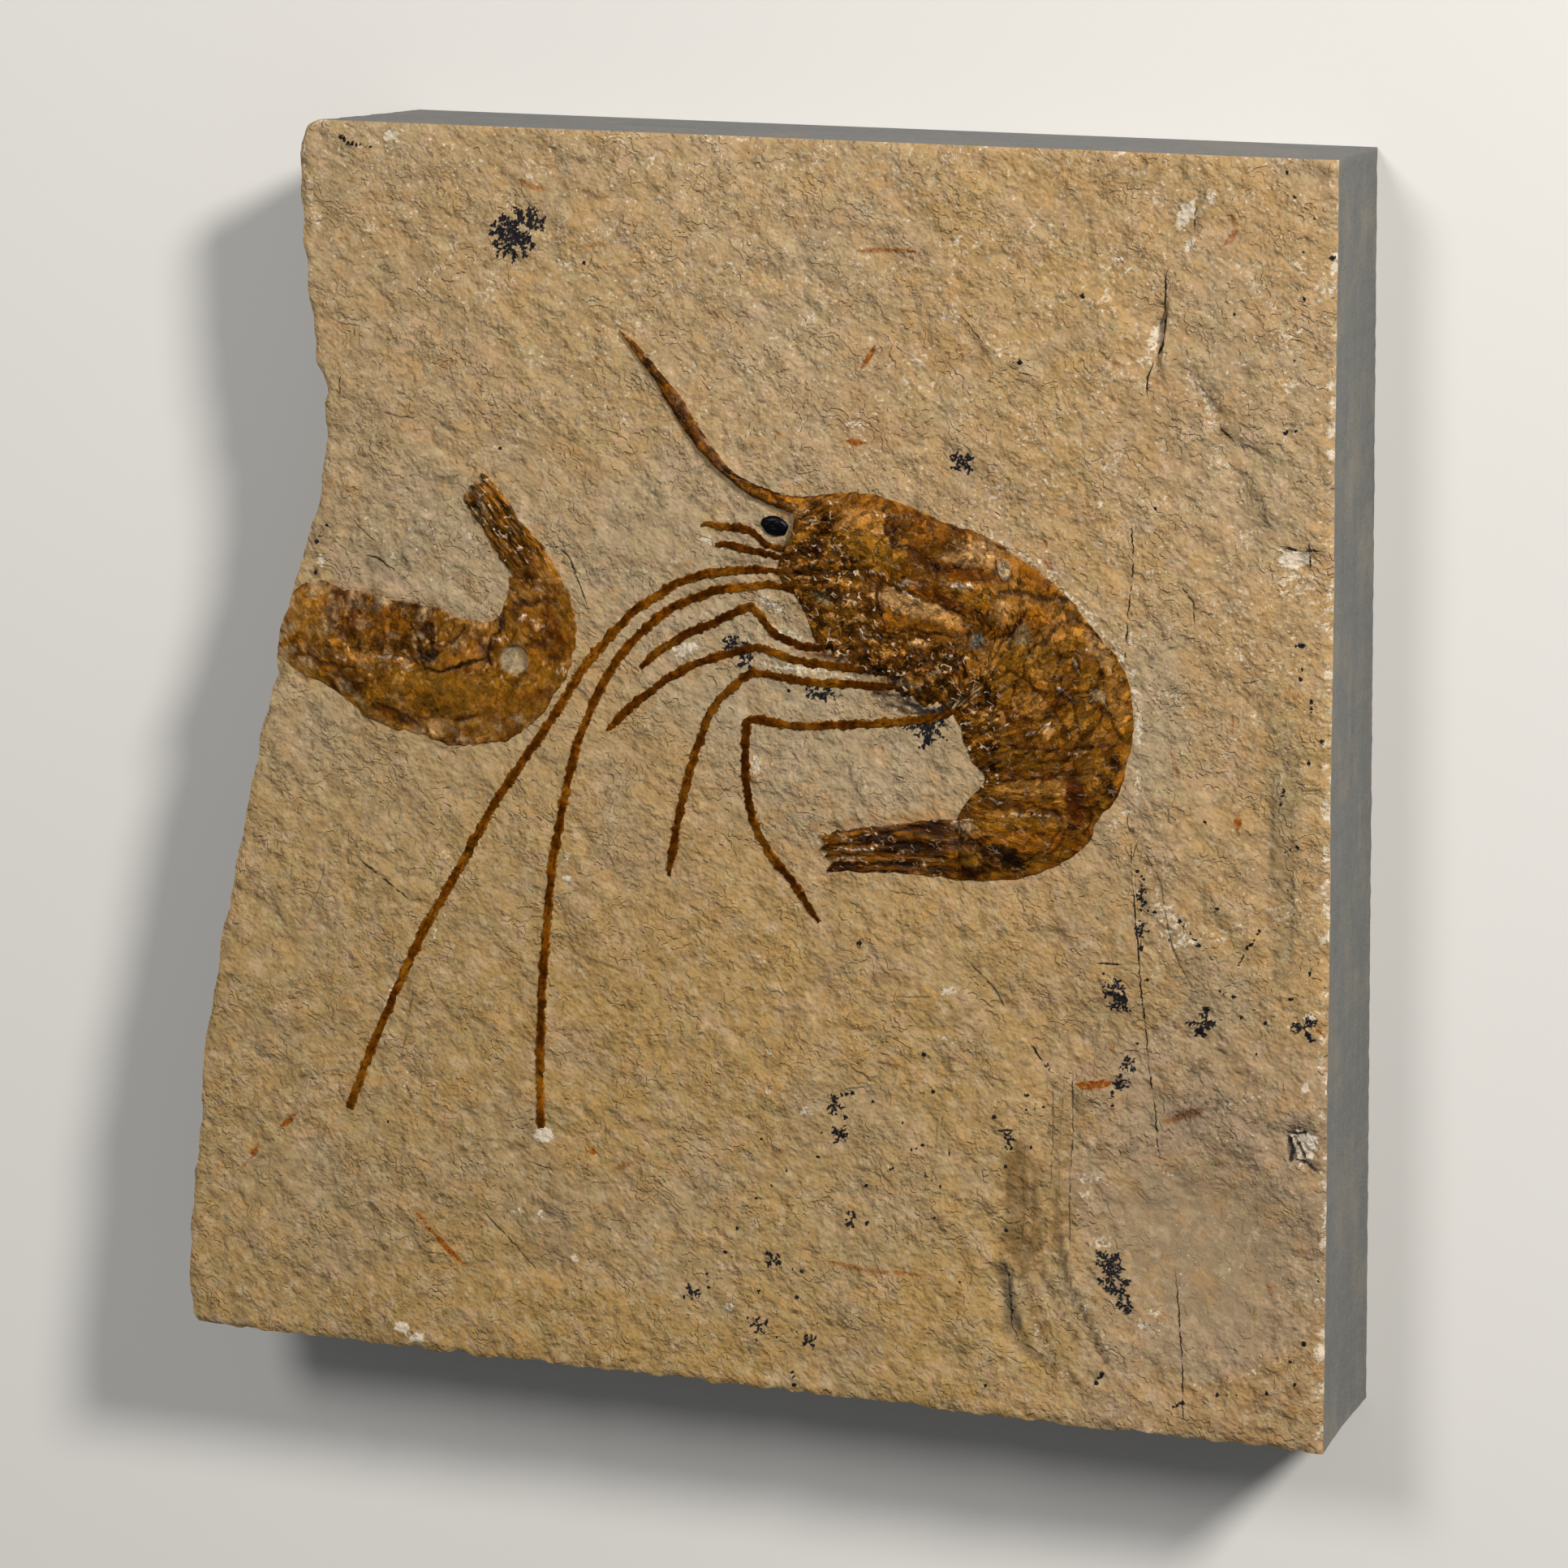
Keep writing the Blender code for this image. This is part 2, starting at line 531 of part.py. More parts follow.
def build():
    clear_scene()
    stone = make_material("stone", STONE, 0.85)
    brown = make_material("shell", SHELL, 0.3)
    pale = make_material("pale_shell", PALE_SHELL, 0.4)
    dark = make_material("dark_shell", DARK_SHELL, 0.35)
    black = make_material("eye_black", BLACK, 0.15)

    slab = make_slab(stone)
    carapace, carapace_outline = make_carapace(brown)
    abdomen, abdomen_outline = make_rings(
        "abdomen", ABDOMEN_BACK, ABDOMEN_BELLY, RING_ENDS, 9, 0.62, brown)
    _, tail_outline = make_fan("tail_fan", TAIL_BACK, TAIL_BELLY, dark)
    _, eye_outline = make_eye(black)
    second, second_outline = make_rings(
        "second_abdomen", SECOND_BACK, SECOND_BELLY, SECOND_RING_ENDS, 8, 0.4, pale)
    _, second_tail_outline = make_fan("second_tail_fan", SECOND_TAIL_BACK, SECOND_TAIL_BELLY, dark)

    carapace_cutter = pocket_cutter("carapace_cutter", carapace_outline, BODY_DEPTH)
    abdomen_cutter = pocket_cutter("abdomen_cutter", abdomen_outline, BODY_DEPTH + 0.03)
    cutters = [
        carapace_cutter,
        abdomen_cutter,
        pocket_cutter("tail_fan_cutter", tail_outline, BODY_DEPTH + 0.06),
        pocket_cutter("eye_cutter", eye_outline, BODY_DEPTH + 0.09),
        pocket_cutter("second_abdomen_cutter", second_outline, BODY_DEPTH),
        pocket_cutter("second_tail_fan_cutter", second_tail_outline, BODY_DEPTH + 0.03),
    ]

    limbs = [(f"long_antenna_{n}", path, ANTENNA_WIDTH, 28) for n, path in enumerate(LONG_ANTENNAE, 1)]
    limbs += [(f"antennule_{n}", path, ANTENNULE_WIDTH, 10) for n, path in enumerate(ANTENNULES, 1)]
    limbs += [(f"walking_leg_{n}", path, LIMB_WIDTH, 20) for n, path in enumerate(WALKING_LEGS, 1)]
    for count, (name, path, width, pieces) in enumerate(limbs):
        limb, outline = make_limb(name, path, width, pieces, dark)
        root_cutter = abdomen_cutter if name == "walking_leg_4" else carapace_cutter
        cut(limb, root_cutter)
        cutters.append(pocket_cutter(name + "_cutter", outline, LIMB_DEPTH + 0.01 * count))

    for cutter in cutters:
        cut(slab, cutter)


build()
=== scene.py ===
"""Dresses a slab of limestone with two fossil shrimps, and sets its light, floor and camera.

Everything is drawn on the slab's face in millimetres, +X to the right and +Y up the slab, and made in metres. The
lists of outlines and marks hold whole numbers: places, half sizes and reaches in tenths of a millimetre, widths,
lifts and drops in hundredths, strengths in per cent, and turns and headings in degrees.
"""

import math

import bpy
import bmesh
import numpy as np
from bpy.props import FloatProperty, FloatVectorProperty, PointerProperty
from mathutils import Matrix, Vector


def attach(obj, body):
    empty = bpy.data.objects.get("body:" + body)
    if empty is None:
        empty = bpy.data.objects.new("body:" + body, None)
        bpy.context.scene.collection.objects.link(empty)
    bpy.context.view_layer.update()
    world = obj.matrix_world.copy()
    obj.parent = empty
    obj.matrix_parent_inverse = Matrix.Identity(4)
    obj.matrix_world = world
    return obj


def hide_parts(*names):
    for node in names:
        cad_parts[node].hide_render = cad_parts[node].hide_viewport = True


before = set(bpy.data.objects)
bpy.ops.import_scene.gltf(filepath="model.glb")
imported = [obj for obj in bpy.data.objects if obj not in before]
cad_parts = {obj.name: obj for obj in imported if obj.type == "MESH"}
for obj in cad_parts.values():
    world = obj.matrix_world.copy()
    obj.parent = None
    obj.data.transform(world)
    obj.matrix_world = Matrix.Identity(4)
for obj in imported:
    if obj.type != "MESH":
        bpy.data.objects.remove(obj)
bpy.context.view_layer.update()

bl_info = {
    "name": "Fossil shrimps on limestone",
    "version": (1, 0, 0),
    "blender": (4, 5, 0),
    "location": "3D View > Sidebar > Fossil",
    "description": "Makes the stone, the pressed shells and limbs, and the stage",
    "category": "Add Mesh",
}

# The slab and its drawing, in millimetres, as the solids have them
MM = 0.001
FACE_CENTRE = (-0.33, -0.03)
THICKNESS = 15.55
TAPER = 0.0165
TOP_SIDE = 64.14
BOTTOM_SIDE = -64.2
RIGHT_AT_TOP = 60
RIGHT_AT_BOTTOM = 62.04


def pairs(*tenths):
    """A list of points in millimetres."""
    return [(x / 10, y / 10) for x, y in zip(tenths[::2], tenths[1::2])]


LEFT_SIDE = pairs(
    -618, -642, -624, -630, -626.5, -605, -627, -575, -626, -540, -623, -500, -617, -455, -614, -415, -613, -380,
    -609, -345, -602, -310, -595, -270, -587.5, -225, -584, -200, -574, -160, -566, -120, -559, -85, -551, -50, -543,
    -15, -537, 15, -529, 45, -520, 67, -519.5, 93, -514, 120, -505, 140, -501, 162, -492, 190, -482, 220, -474, 250,
    -468, 280, -463, 310, -466, 335, -465, 353, -460.5, 363, -466, 374, -473.5, 392, -477, 420, -482, 455, -485, 495,
    -489, 535, -492, 585, -491, 620, -485, 635) + [(-47.3, TOP_SIDE)]

CARAPACE_BACK = pairs(
    -141, 444, -122, 432, -105, 414, -88, 396, -72, 378, -58, 358, -44, 339, -30, 322, -13, 306, 5, 298, 23, 292, 40,
    288.5, 52, 287, 62, 286.5, 72, 289, 84, 291, 98, 292.5, 112, 294, 128, 294, 146, 291, 164, 286, 182, 280, 200,
    273, 220, 268, 242, 263, 264, 252, 282, 241)
CARAPACE_BELLY = pairs(
    -139, 442, -129, 427, -115, 409, -100, 391, -88, 371, -75, 352, -60, 333, -44, 317, -27, 304, -9, 291, 9, 281, 30,
    273, 49, 267, 49, 252, 43, 235, 35, 220, 37, 202, 56, 185, 66, 164, 76, 147, 98, 138, 124, 130, 146, 122, 164,
    109, 186, 99, 210, 95, 232, 99)
HEAD_START = 12

ABDOMEN_BACK = pairs(
    286, 239, 306, 227, 326, 214, 344, 197, 362, 178, 379, 159, 394, 141, 403, 122, 408, 98, 409, 72, 405, 46, 400,
    22, 390, 0, 373, -20, 365, -43, 333, -68, 287, -86, 229, -91.5)
ABDOMEN_BELLY = pairs(
    236, 98, 230, 92, 224, 87, 221, 80, 223, 72, 227, 63, 231, 53, 234, 43, 239, 33, 247, 23, 253, 15, 252, 8, 247, 3,
    242, -2, 237, -8, 232, -15, 229, -21, 226, -27)
RING_ENDS = [1.8, 4.2, 7, 9.6, 12]

TAIL_BACK = pairs(224, -90, 200, -89.5, 175, -89.5, 150, -90, 125, -92, 106, -93.5, 92, -95)
TAIL_BELLY = pairs(221, -28, 200, -31, 173, -35.5, 146, -41, 120, -45, 98, -50, 74, -54)

SECOND_BACK = pairs(
    -516, 86, -494, 69, -466, 59, -440, 45, -416, 26, -386, 17, -356, 13, -324, 5, -290, 8, -256, 18, -229, 36, -209,
    64, -194, 90, -185, 122, -187, 160, -202, 189)
SECOND_BELLY = pairs(
    -498, 158, -484, 165, -466, 170, -444, 161, -420, 159, -392, 155, -364, 152, -338, 148, -316, 140, -296, 139,
    -280, 137, -271, 145, -266, 154, -262, 164, -260, 174, -259, 185)
SECOND_RING_ENDS = [3.1, 5.6, 8, 10.4, 12.8]

SECOND_TAIL_BACK = pairs(-206, 197, -220, 218, -238, 235, -254, 253, -270, 275, -289, 291)
SECOND_TAIL_BELLY = pairs(-259, 190, -272, 206, -285, 225, -297, 242, -308, 256, -312, 269)

EYE_OUTLINE = pairs(13.5, 257, 17, 262.5, 24, 265, 33, 265, 40, 261, 43.5, 254, 41, 247, 34, 244, 24, 245, 17, 250)

LONG_ANTENNAE = [
    pairs(46, 210, 25, 209.5, 0, 208.5, -25, 205, -50, 200, -82, 186, -100, 173, -120, 160, -135, 145, -150, 129,
          -179, 93, -213, 39, -247, -10, -280, -60, -313, -120, -353, -190, -393, -273, -425, -347, -440, -390),
    pairs(64, 189, 50, 190.5, 25, 195, 0, 191, -25, 187.5, -45, 181, -68, 171, -90, 158, -122, 129, -148, 95, -169,
          54, -185, 12, -200, -53, -212, -130, -220, -213, -223, -297, -222, -390),
]
ANTENNULES = [
    pairs(-50, 251, -40, 252.5, -24, 251, -8, 250.5, 3, 248, 12, 242, 20, 236, 44, 229),
    pairs(-34, 232, -24, 233.5, -10, 232, 4, 228.5, 18, 226.5, 44, 221),
]
WALKING_LEGS = [
    pairs(-115, 100, -100, 115, -82, 128, -65, 139, -50, 146, -32, 154, -17, 162, -3, 169, 5, 171.5, 11, 166, 19, 157,
          30, 146, 50, 137.5, 67, 134, 86, 136, 104, 146),
    pairs(-152, 33, -135, 50, -120, 65, -104, 77, -88, 90, -70, 101, -50, 111, -25, 120, -5, 126, 12, 130, 30, 126,
          50, 121, 75, 118, 100, 117, 125, 116, 156, 124),
    pairs(-82, -112, -80, -95, -76, -75, -72, -52, -66, -27, -61, -7, -56, 12, -47, 37, -40, 57, -28, 75, -15, 87, -3,
          98, 4, 102.5, 12, 104.5, 38, 102, 75, 99, 100, 100, 130, 100, 154, 101, 184, 107),
    pairs(82, -146, 65, -125, 50, -105, 32, -85, 18, -65, 9, -45, 4, -20, 1, 5, 0.5, 30, 1.5, 46, 3, 54.5, 12, 57, 28,
          56, 50, 54, 75, 55, 100, 58, 140, 62, 180, 68, 202, 73, 236, 86),
]

LIMB_WIDTH = 0.86
ANTENNA_WIDTH = 0.9
ANTENNULE_WIDTH = 0.82


def rgb(red, green, blue):
    """A colour from 0 to 255 a channel, as light."""
    return tuple((c / 255 / 12.92) if c < 10.3 else ((c / 255 + 0.055) / 1.055) ** 2.4
                 for c in (red, green, blue))


# The colours of the stone and of the shells
OCHRE = rgb(170, 139, 97)
YELLOW = rgb(172, 138, 80)
BUFF = rgb(176, 152, 114)
GREY_STONE = rgb(160, 142, 114)
PINK_STONE = rgb(152, 130, 106)
DRAB = rgb(140, 120, 84)
SHADE = rgb(96, 80, 56)
CHALK = rgb(226, 214, 194)
RUST = rgb(144, 80, 6)
EARTH = rgb(114, 87, 47)
SOOT = rgb(60, 58, 56)
INK = rgb(24, 22, 26)
SAWN = rgb(104, 104, 101)
BROKEN = rgb(128, 116, 92)

BROWN = rgb(118, 70, 8)
ORANGE = rgb(142, 86, 16)
AMBER = rgb(150, 94, 26)
OLIVE = rgb(132, 88, 20)
TAN = rgb(164, 112, 46)
PINK = rgb(188, 142, 86)
RED = rgb(88, 40, 2)
DARK = rgb(46, 18, 1)
BLACK = rgb(18, 8, 2)
# The next two are painted highlights on the shells.
GLINT = rgb(232, 212, 188)
PAINTED_SPARKLE = rgb(196, 154, 100)
LIMB = rgb(104, 56, 4)
LIMB_LIGHT = rgb(134, 84, 18)


# Fields over the face


def smooth(value, start, end):
    """Rises smoothly from 0 at start to 1 at end."""
    t = np.clip((value - start) / (end - start), 0, 1)
    return t * t * (3 - 2 * t)


def fall(value, start, end):
    return 1 - smooth(value, start, end)


def bump(distance, width):
    """1 at no distance, falling away over the width."""
    return np.exp(-(distance / width) ** 2)


def noise(x, y, size, seed):
    """Smooth noise from about -1 to 1, with forms about size millimetres across."""
    turn = 0.7 + 1.3 * seed
    u = (x * math.cos(turn) - y * math.sin(turn)) / size + 7.3 * seed
    v = (x * math.sin(turn) + y * math.cos(turn)) / size - 3.1 * seed
    lean = np.random.default_rng(seed).uniform(0.0, 2.0 * math.pi, (128, 128))
    i = np.floor(u).astype(int)
    j = np.floor(v).astype(int)
    f = u - i
    g = v - j

    def corner(di, dj):
        angle = lean[(i + di) % 128, (j + dj) % 128]
        return np.cos(angle) * (f - di) + np.sin(angle) * (g - dj)

    ease_f = f * f * (3 - 2 * f)
    ease_g = g * g * (3 - 2 * g)
    low = corner(0, 0) * (1 - ease_f) + corner(1, 0) * ease_f
    high = corner(0, 1) * (1 - ease_f) + corner(1, 1) * ease_f
    return 1.5 * (low * (1 - ease_g) + high * ease_g)


def fractal(x, y, size, seed, octaves=3):
    """Noise with finer and fainter noise over it."""
    total = 0
    for k in range(octaves):
        total = total + noise(x, y, size / 2 ** k, seed + k) / 2 ** k
    return total


def plates(x, y, size, seed):
    """How far each point is from the border of its irregular plate, and a random number for the plate."""
    u = x / size
    v = y / size
    table = np.random.default_rng(seed).uniform(0.0, 1.0, (64, 64, 3))
    i = np.floor(u).astype(int)
    j = np.floor(v).astype(int)
    nearest = np.full(u.shape, 9.0)
    second = np.full(u.shape, 9.0)
    mark = np.zeros(u.shape)
    for di in (-1, 0, 1):
        for dj in (-1, 0, 1):
            cell = table[(i + di) % 64, (j + dj) % 64]
            reach = np.hypot(u - i - di - cell[..., 0], v - j - dj - cell[..., 1])
            closer = reach < nearest
            second = np.where(closer, nearest, np.minimum(second, reach))
            mark = np.where(closer, cell[..., 2], mark)
            nearest = np.where(closer, reach, nearest)
    return (second - nearest) * size * 0.5, mark


def along_line(x, y, line):
    """Each point's distance from a broken line, with a sign for its side, and its place along it from 0 to 1."""
    line = np.array(line, float)
    lengths = np.hypot(*(line[1:] - line[:-1]).T)
    starts = np.concatenate([[0], np.cumsum(lengths)])
    nearest = np.full(x.shape, 1e9)
    signed = np.full(x.shape, 1e9)
    place = np.zeros(x.shape)
    for (ax, ay), (bx, by), start, length in zip(line[:-1], line[1:], starts, lengths):
        along = np.clip(((x - ax) * (bx - ax) + (y - ay) * (by - ay)) / length ** 2, 0, 1)
        off_x = x - ax - along * (bx - ax)
        off_y = y - ay - along * (by - ay)
        reach = np.hypot(off_x, off_y)
        side = np.where((bx - ax) * off_y - (by - ay) * off_x < 0, -1, 1)
        closer = reach < nearest
        nearest = np.where(closer, reach, nearest)
        signed = np.where(closer, reach * side, signed)
        place = np.where(closer, (start + along * length) / starts[-1], place)
    return signed, place


def within(x, y, points, margin):
    """Indices of the points inside the box of a line, with a margin."""
    points = np.array(points, float)
    low = points.min(0) - margin
    high = points.max(0) + margin
    return np.nonzero((x > low[0]) & (x < high[0]) & (y > low[1]) & (y < high[1]))[0]


def curve(points, u):
    """Points at u on the smooth curve through a list of points, counted in points."""
    points = np.array(points, float)
    points = np.vstack([2 * points[0] - points[1], points, 2 * points[-1] - points[-2]])
    i = np.clip(np.floor(u).astype(int), 0, len(points) - 4)
    t = (u - i)[..., None]
    p0, p1, p2, p3 = (points[i + k] for k in range(4))
    return 0.5 * (2 * p1 + (p2 - p0) * t + (2 * p0 - 5 * p1 + 4 * p2 - p3) * t * t
                  + (3 * p1 - p0 - 3 * p2 + p3) * t ** 3)


class Canvas:
    """Colour and height laid over points of the face."""

    def __init__(self, x, y, colour):
        self.x = x
        self.y = y
        self.colour = np.tile(np.array(colour, float), (len(x), 1))
        self.lift = np.zeros(len(x))
        self.chalk = np.zeros(len(x))
        self.crumple = np.zeros(len(x))
        self.softness = 1

    def lay(self, amount, colour, lift=0, where=slice(None)):
        amount = np.clip(amount, 0, 1)
        if colour is GLINT:
            x = self.x[where]
            y = self.y[where]
            amount = amount * smooth(noise(0.3 * (x - 0.3 * y), y + 0.3 * x, 0.16, 29), -0.15, 0.25)
        if colour is CHALK:
            self.chalk[where] = np.maximum(self.chalk[where], amount)
        else:
            if colour is INK:
                self.chalk[where] *= 1 - amount
            self.colour[where] += (np.array(colour) - self.colour[where]) * amount[:, None]
        self.lift[where] += lift * amount

    def shade(self, factor):
        self.colour *= np.clip(factor, 0, 4)[:, None]

    def spot(self, colour, strength, cx, cy, rx, ry, turn=0, lift=0, ragged=30, soft=35):
        """A ragged oval with its axes turned by some degrees."""
        cx, cy, rx, ry, ragged = cx / 10, cy / 10, rx / 10, ry / 10, ragged / 100
        reach = max(rx, ry) * (1.3 + ragged)
        where = within(self.x, self.y, [(cx, cy)], reach)
        if not len(where):
            return
        x = self.x[where]
        y = self.y[where]
        c = math.cos(math.radians(turn))
        s = math.sin(math.radians(turn))
        u = ((x - cx) * c + (y - cy) * s) / rx
        v = ((y - cy) * c - (x - cx) * s) / ry
        size = max(0.25, 0.45 * min(rx, ry))
        rim = np.hypot(u, v) + ragged * fractal(x, y, size, 21, 2)
        soft = soft / 100 * self.softness
        self.lay(strength / 100 * fall(rim, 1 - soft, 1 + soft), colour, lift / 100, where)

    def stroke(self, colour, strength, width, line, lift=0, ragged=35, soft=45):
        """A ragged line, thinner at its ends."""
        line, width, ragged, soft = pairs(*line), width / 100, ragged / 100, soft / 100
        where = within(self.x, self.y, line, 1.5 * width)
        if not len(where):
            return
        x = self.x[where]
        y = self.y[where]
        signed, place = along_line(x, y, line)
        half = 0.5 * width * (0.35 + 0.65 * smooth(place, 0, 0.2) * smooth(1 - place, 0, 0.2))
        rim = np.abs(signed) / half + ragged * noise(x, y, 0.7, 33) + 0.6 * ragged * noise(x, y, 0.25, 34)
        self.lay(strength / 100 * fall(rim, 1 - soft, 1 + soft), colour, lift / 100, where)

    def marks(self, spots=(), strokes=(), wander=0):
        """Lays spots and strokes, with their outlines shifted about by a wander in millimetres."""
        x, y = self.x, self.y
        self.x = x + wander * fractal(x, y, 1.3, 311, 3)
        self.y = y + wander * fractal(x, y, 1.3, 317, 3)
        for make, groups in ((self.spot, spots), (self.stroke, strokes)):
            for colour, *marks in groups:
                for mark in marks:
                    make(colour, *mark)
        self.x, self.y = x, y


# The stone's face


def plane(y):
    return THICKNESS - TAPER * y


def ledges(x, y):
    """Three thin layers that step down to the right in the lower right quarter."""
    shift = 0.7 * np.maximum(0, -47 - y) - 0.75 * np.maximum(0, y + 27)
    reach = smooth(y, -63, -58) * fall(y, -24, -16)
    steps = sum(drop * smooth(x - shift, edge, edge + 0.7)
                for edge, drop in ((28.4, 0.2), (31.4, 0.2), (34.2, 0.3)))
    return -steps * reach * fall(x, 42, 58)


def pit(x, y):
    """A narrow spalled hole in the upper right quarter, steep on its right side."""
    across = x - 42.3 - 0.12 * (y - 46.7)
    high = bump(y - 46.7, 3)
    hole = smooth(across, -1.6, 0.5) * fall(across, 0.5, 0.95) * high
    return -1.1 * hole + 0.35 * hole * fractal(x, y, 1.1, 43, 3)


def relief(x, y):
    """Height of the natural surface over the mean face."""
    waves = 0.1 * np.sin(0.21 * x + 0.9) * np.cos(0.17 * y - 0.5)
    waves = waves + 0.07 * np.sin(0.11 * x - 0.23 * y + 1.7)
    spalls = -0.4 * bump(x - 57.6, 2.3) * bump(y - 24.6, 2)
    spalls = spalls - 0.6 * bump(x - 59.2, 2) * bump(y + 33, 2.2)
    spalls = spalls * (1 + 0.5 * fractal(x, y, 1.3, 45, 3))
    return waves + pit(x, y) + spalls + ledges(x, y)


# Small steps in the face: how far it drops on the right of a line, over what distance it comes back (in tenths),
# and the line
STEPS = [
    (34, 36, [450, 450, 465, 425, 478, 405, 483, 390, 490, 378, 500, 370, 530, 358]),
    (20, 30, [518, 345, 520, 320, 525, 300, 535, 290, 555, 282]), (10, 20, [455, 220, 468, 205, 468, 185]),
    (30, 16, [304, -480, 320, -516, 338, -548, 360, -576, 395, -594]),
    (28, 14, [338, -480, 349, -512, 367, -544, 397, -575]),
    (32, 16, [283, -475, 289, -500, 293, -545, 302, -560, 330, -575, 345, -593]),
    (12, 20, [240, -170, 270, -200, 280, -220]), (10, 20, [305, -250, 328, -280]),
    (16, 20, [353, -278, 353, -320, 352.5, -380, 352, -472]), (12, 12, [330, -280, 331, -330, 330, -380]),
    (14, 16, [310, -256, 294, -226, 265, -195]), (20, 18, [464, 615, 463, 596, 458, 580, 459, 562, 454, 546]),
    (20, 16, [554, 60, 552, 0, 554, -80, 559, -165]), (16, 14, [577, 20, 574, -60, 576, -160]),
    (8, 20, [-260, 360, -240, 345]), (8, 20, [-465, -115, -472, -150, -490, -195]),
    (8, 20, [-430, -120, -400, -140, -370, -160]), (8, 20, [-290, -485, -260, -510, -228, -542]),
    (8, 20, [83, -110, 110, -120, 130, -130]),
]


def grain(x, y):
    """Thin broken layers and small ripples on the split face."""
    layers = 1.6 * fractal(x, y, 11, 41, 4)
    whole = np.floor(layers)
    stair = whole + smooth(layers - whole, 0.3, 0.6)
    broken = smooth(noise(x, y, 6, 47), -0.3, 0.5)
    height = 0.07 * (layers + (stair - layers) * broken)
    slant = 0.8 * x + 0.6 * y
    across = 0.8 * y - 0.6 * x
    height = height + 0.07 * fractal(slant, 1.6 * across, 4.2, 51, 3)
    height = height + 0.04 * noise(slant, 1.5 * across, 1.5, 55)
    height = height * (1 - 0.7 * smooth_disc(x, y)[0])
    for drop, fade, line in STEPS:
        drop, fade, line = drop / 100, fade / 10, pairs(*line)
        where = within(x, y, line, 3 * fade)
        signed, place = along_line(x[where], y[where], line)
        ends = smooth(place, 0, 0.15) * smooth(1 - place, 0, 0.15)
        height[where] -= drop * ends * smooth(-signed, -0.15, 0.3) * np.exp(-np.abs(signed) / fade)
    return height


def stone_height(x, y):
    return relief(x, y) + grain(x, y)


# Hairline cracks, and painted shadow lines along the small steps: strength, half width, line
CRACKS_AND_STEP_SHADOWS = [
    (90, 7, [402, 275, 405, 240, 403, 220, 401, 200, 399, 150]), (100, 12, [402, 271, 402, 265, 404.5, 256]),
    (100, 13, [403.5, 235, 403, 227, 402.5, 220]), (100, 11, [399.5, 152, 398.5, 146, 397.5, 140]),
    (55, 8, [403, 20, 404, -10, 408, -40, 411, -80]),
    (90, 9, [411, -80, 414, -110, 418, -140, 422, -190, 425, -220, 429, -260]),
    (85, 8, [429, -260, 434, -290, 438, -315, 441, -345, 444, -363, 453, -363]),
    (80, 7, [463, -475, 467, -510, 472, -560, 474, -605, 478, -635]),
    (45, 9, [403, 10, 412, -30, 425, -50, 440, -75, 453, -140, 480, -190]), (90, 9, [432, 525, 431, 505, 430, 485]),
    (85, 18, [433, 486, 429.5, 475, 429, 458, 424, 446]), (90, 9, [420, 439, 414, 418, 415, 407]),
    (60, 12, [489, 381, 493, 374, 502, 368]), (40, 10, [502, 368, 515, 363, 530, 358]),
    (40, 8, [465, 425, 478, 405, 483, 390]), (80, 8, [455, 220, 468, 205, 468, 185]),
    (60, 8, [515, 130, 526, 130, 535, 133]), (40, 8, [516, 346, 517, 326, 524, 306, 534, 292, 550, 278]),
    (70, 8, [464, 615, 463, 596, 459, 580, 460, 562]), (95, 12, [558, 265, 574, 263, 593, 264]),
    (80, 8, [582, 272, 583, 246]), (50, 10, [240, -170, 270, -200, 280, -220]), (70, 11, [305, -250, 328, -280]),
    (80, 11, [275, -343, 292, -342]), (80, 10, [375, -162, 400, -162]),
    (50, 9, [350, -275, 352, -340, 350, -400, 351, -460]), (40, 8, [330, -270, 332, -330, 331, -400]),
    (30, 8, [302, -380, 304, -430, 300, -475]),
    (50, 10, [283, -475, 289, -500, 293, -545, 302, -560, 330, -575, 345, -593]),
    (30, 8, [300, -480, 325, -530, 345, -570]), (30, 8, [400, -585, 375, -550, 350, -525, 330, -490]),
    (65, 7, [270, 429, 285, 422, 300, 420]), (60, 7, [220, 477, 245, 450]), (60, 8, [-448, 380, -448, 360]),
    (45, 10, [-400, 347, -380, 342, -360, 343]), (55, 10, [-260, 360, -240, 345]),
    (35, 8, [-465, -115, -472, -150, -490, -195]), (60, 10, [-430, -120, -400, -140, -370, -160]),
    (70, 8, [-485, -360, -470, -375]), (35, 10, [-365, -250, -374, -290, -380, -330]),
    (55, 11, [-290, -485, -260, -510, -228, -542]), (60, 8, [-240, -425, -210, -432]),
    (50, 9, [83, -110, 110, -120, 130, -130]), (40, 8, [150, -107, 175, -109, 200, -109]),
    (40, 8, [140, -213, 155, -216, 210, -212]), (55, 8, [152, 43, 167, 45]),
    (60, 10, [-220, 220, -204, 218, -193, 210, -180, 180, -173, 160]), (50, 8, [-440, 240, -424, 224, -405, 210]),
    (45, 8, [-390, 220, -378, 200, -365, 180]), (40, 8, [-350, 240, -338, 205, -330, 170]),
    (60, 10, [-420, 198, -405, 195, -390, 185, -370, 173]), (70, 8, [250, 318, 253, 306]),
    (70, 10, [260, 283, 266, 280]), (50, 7, [-435, 46, -410, 19]),
]

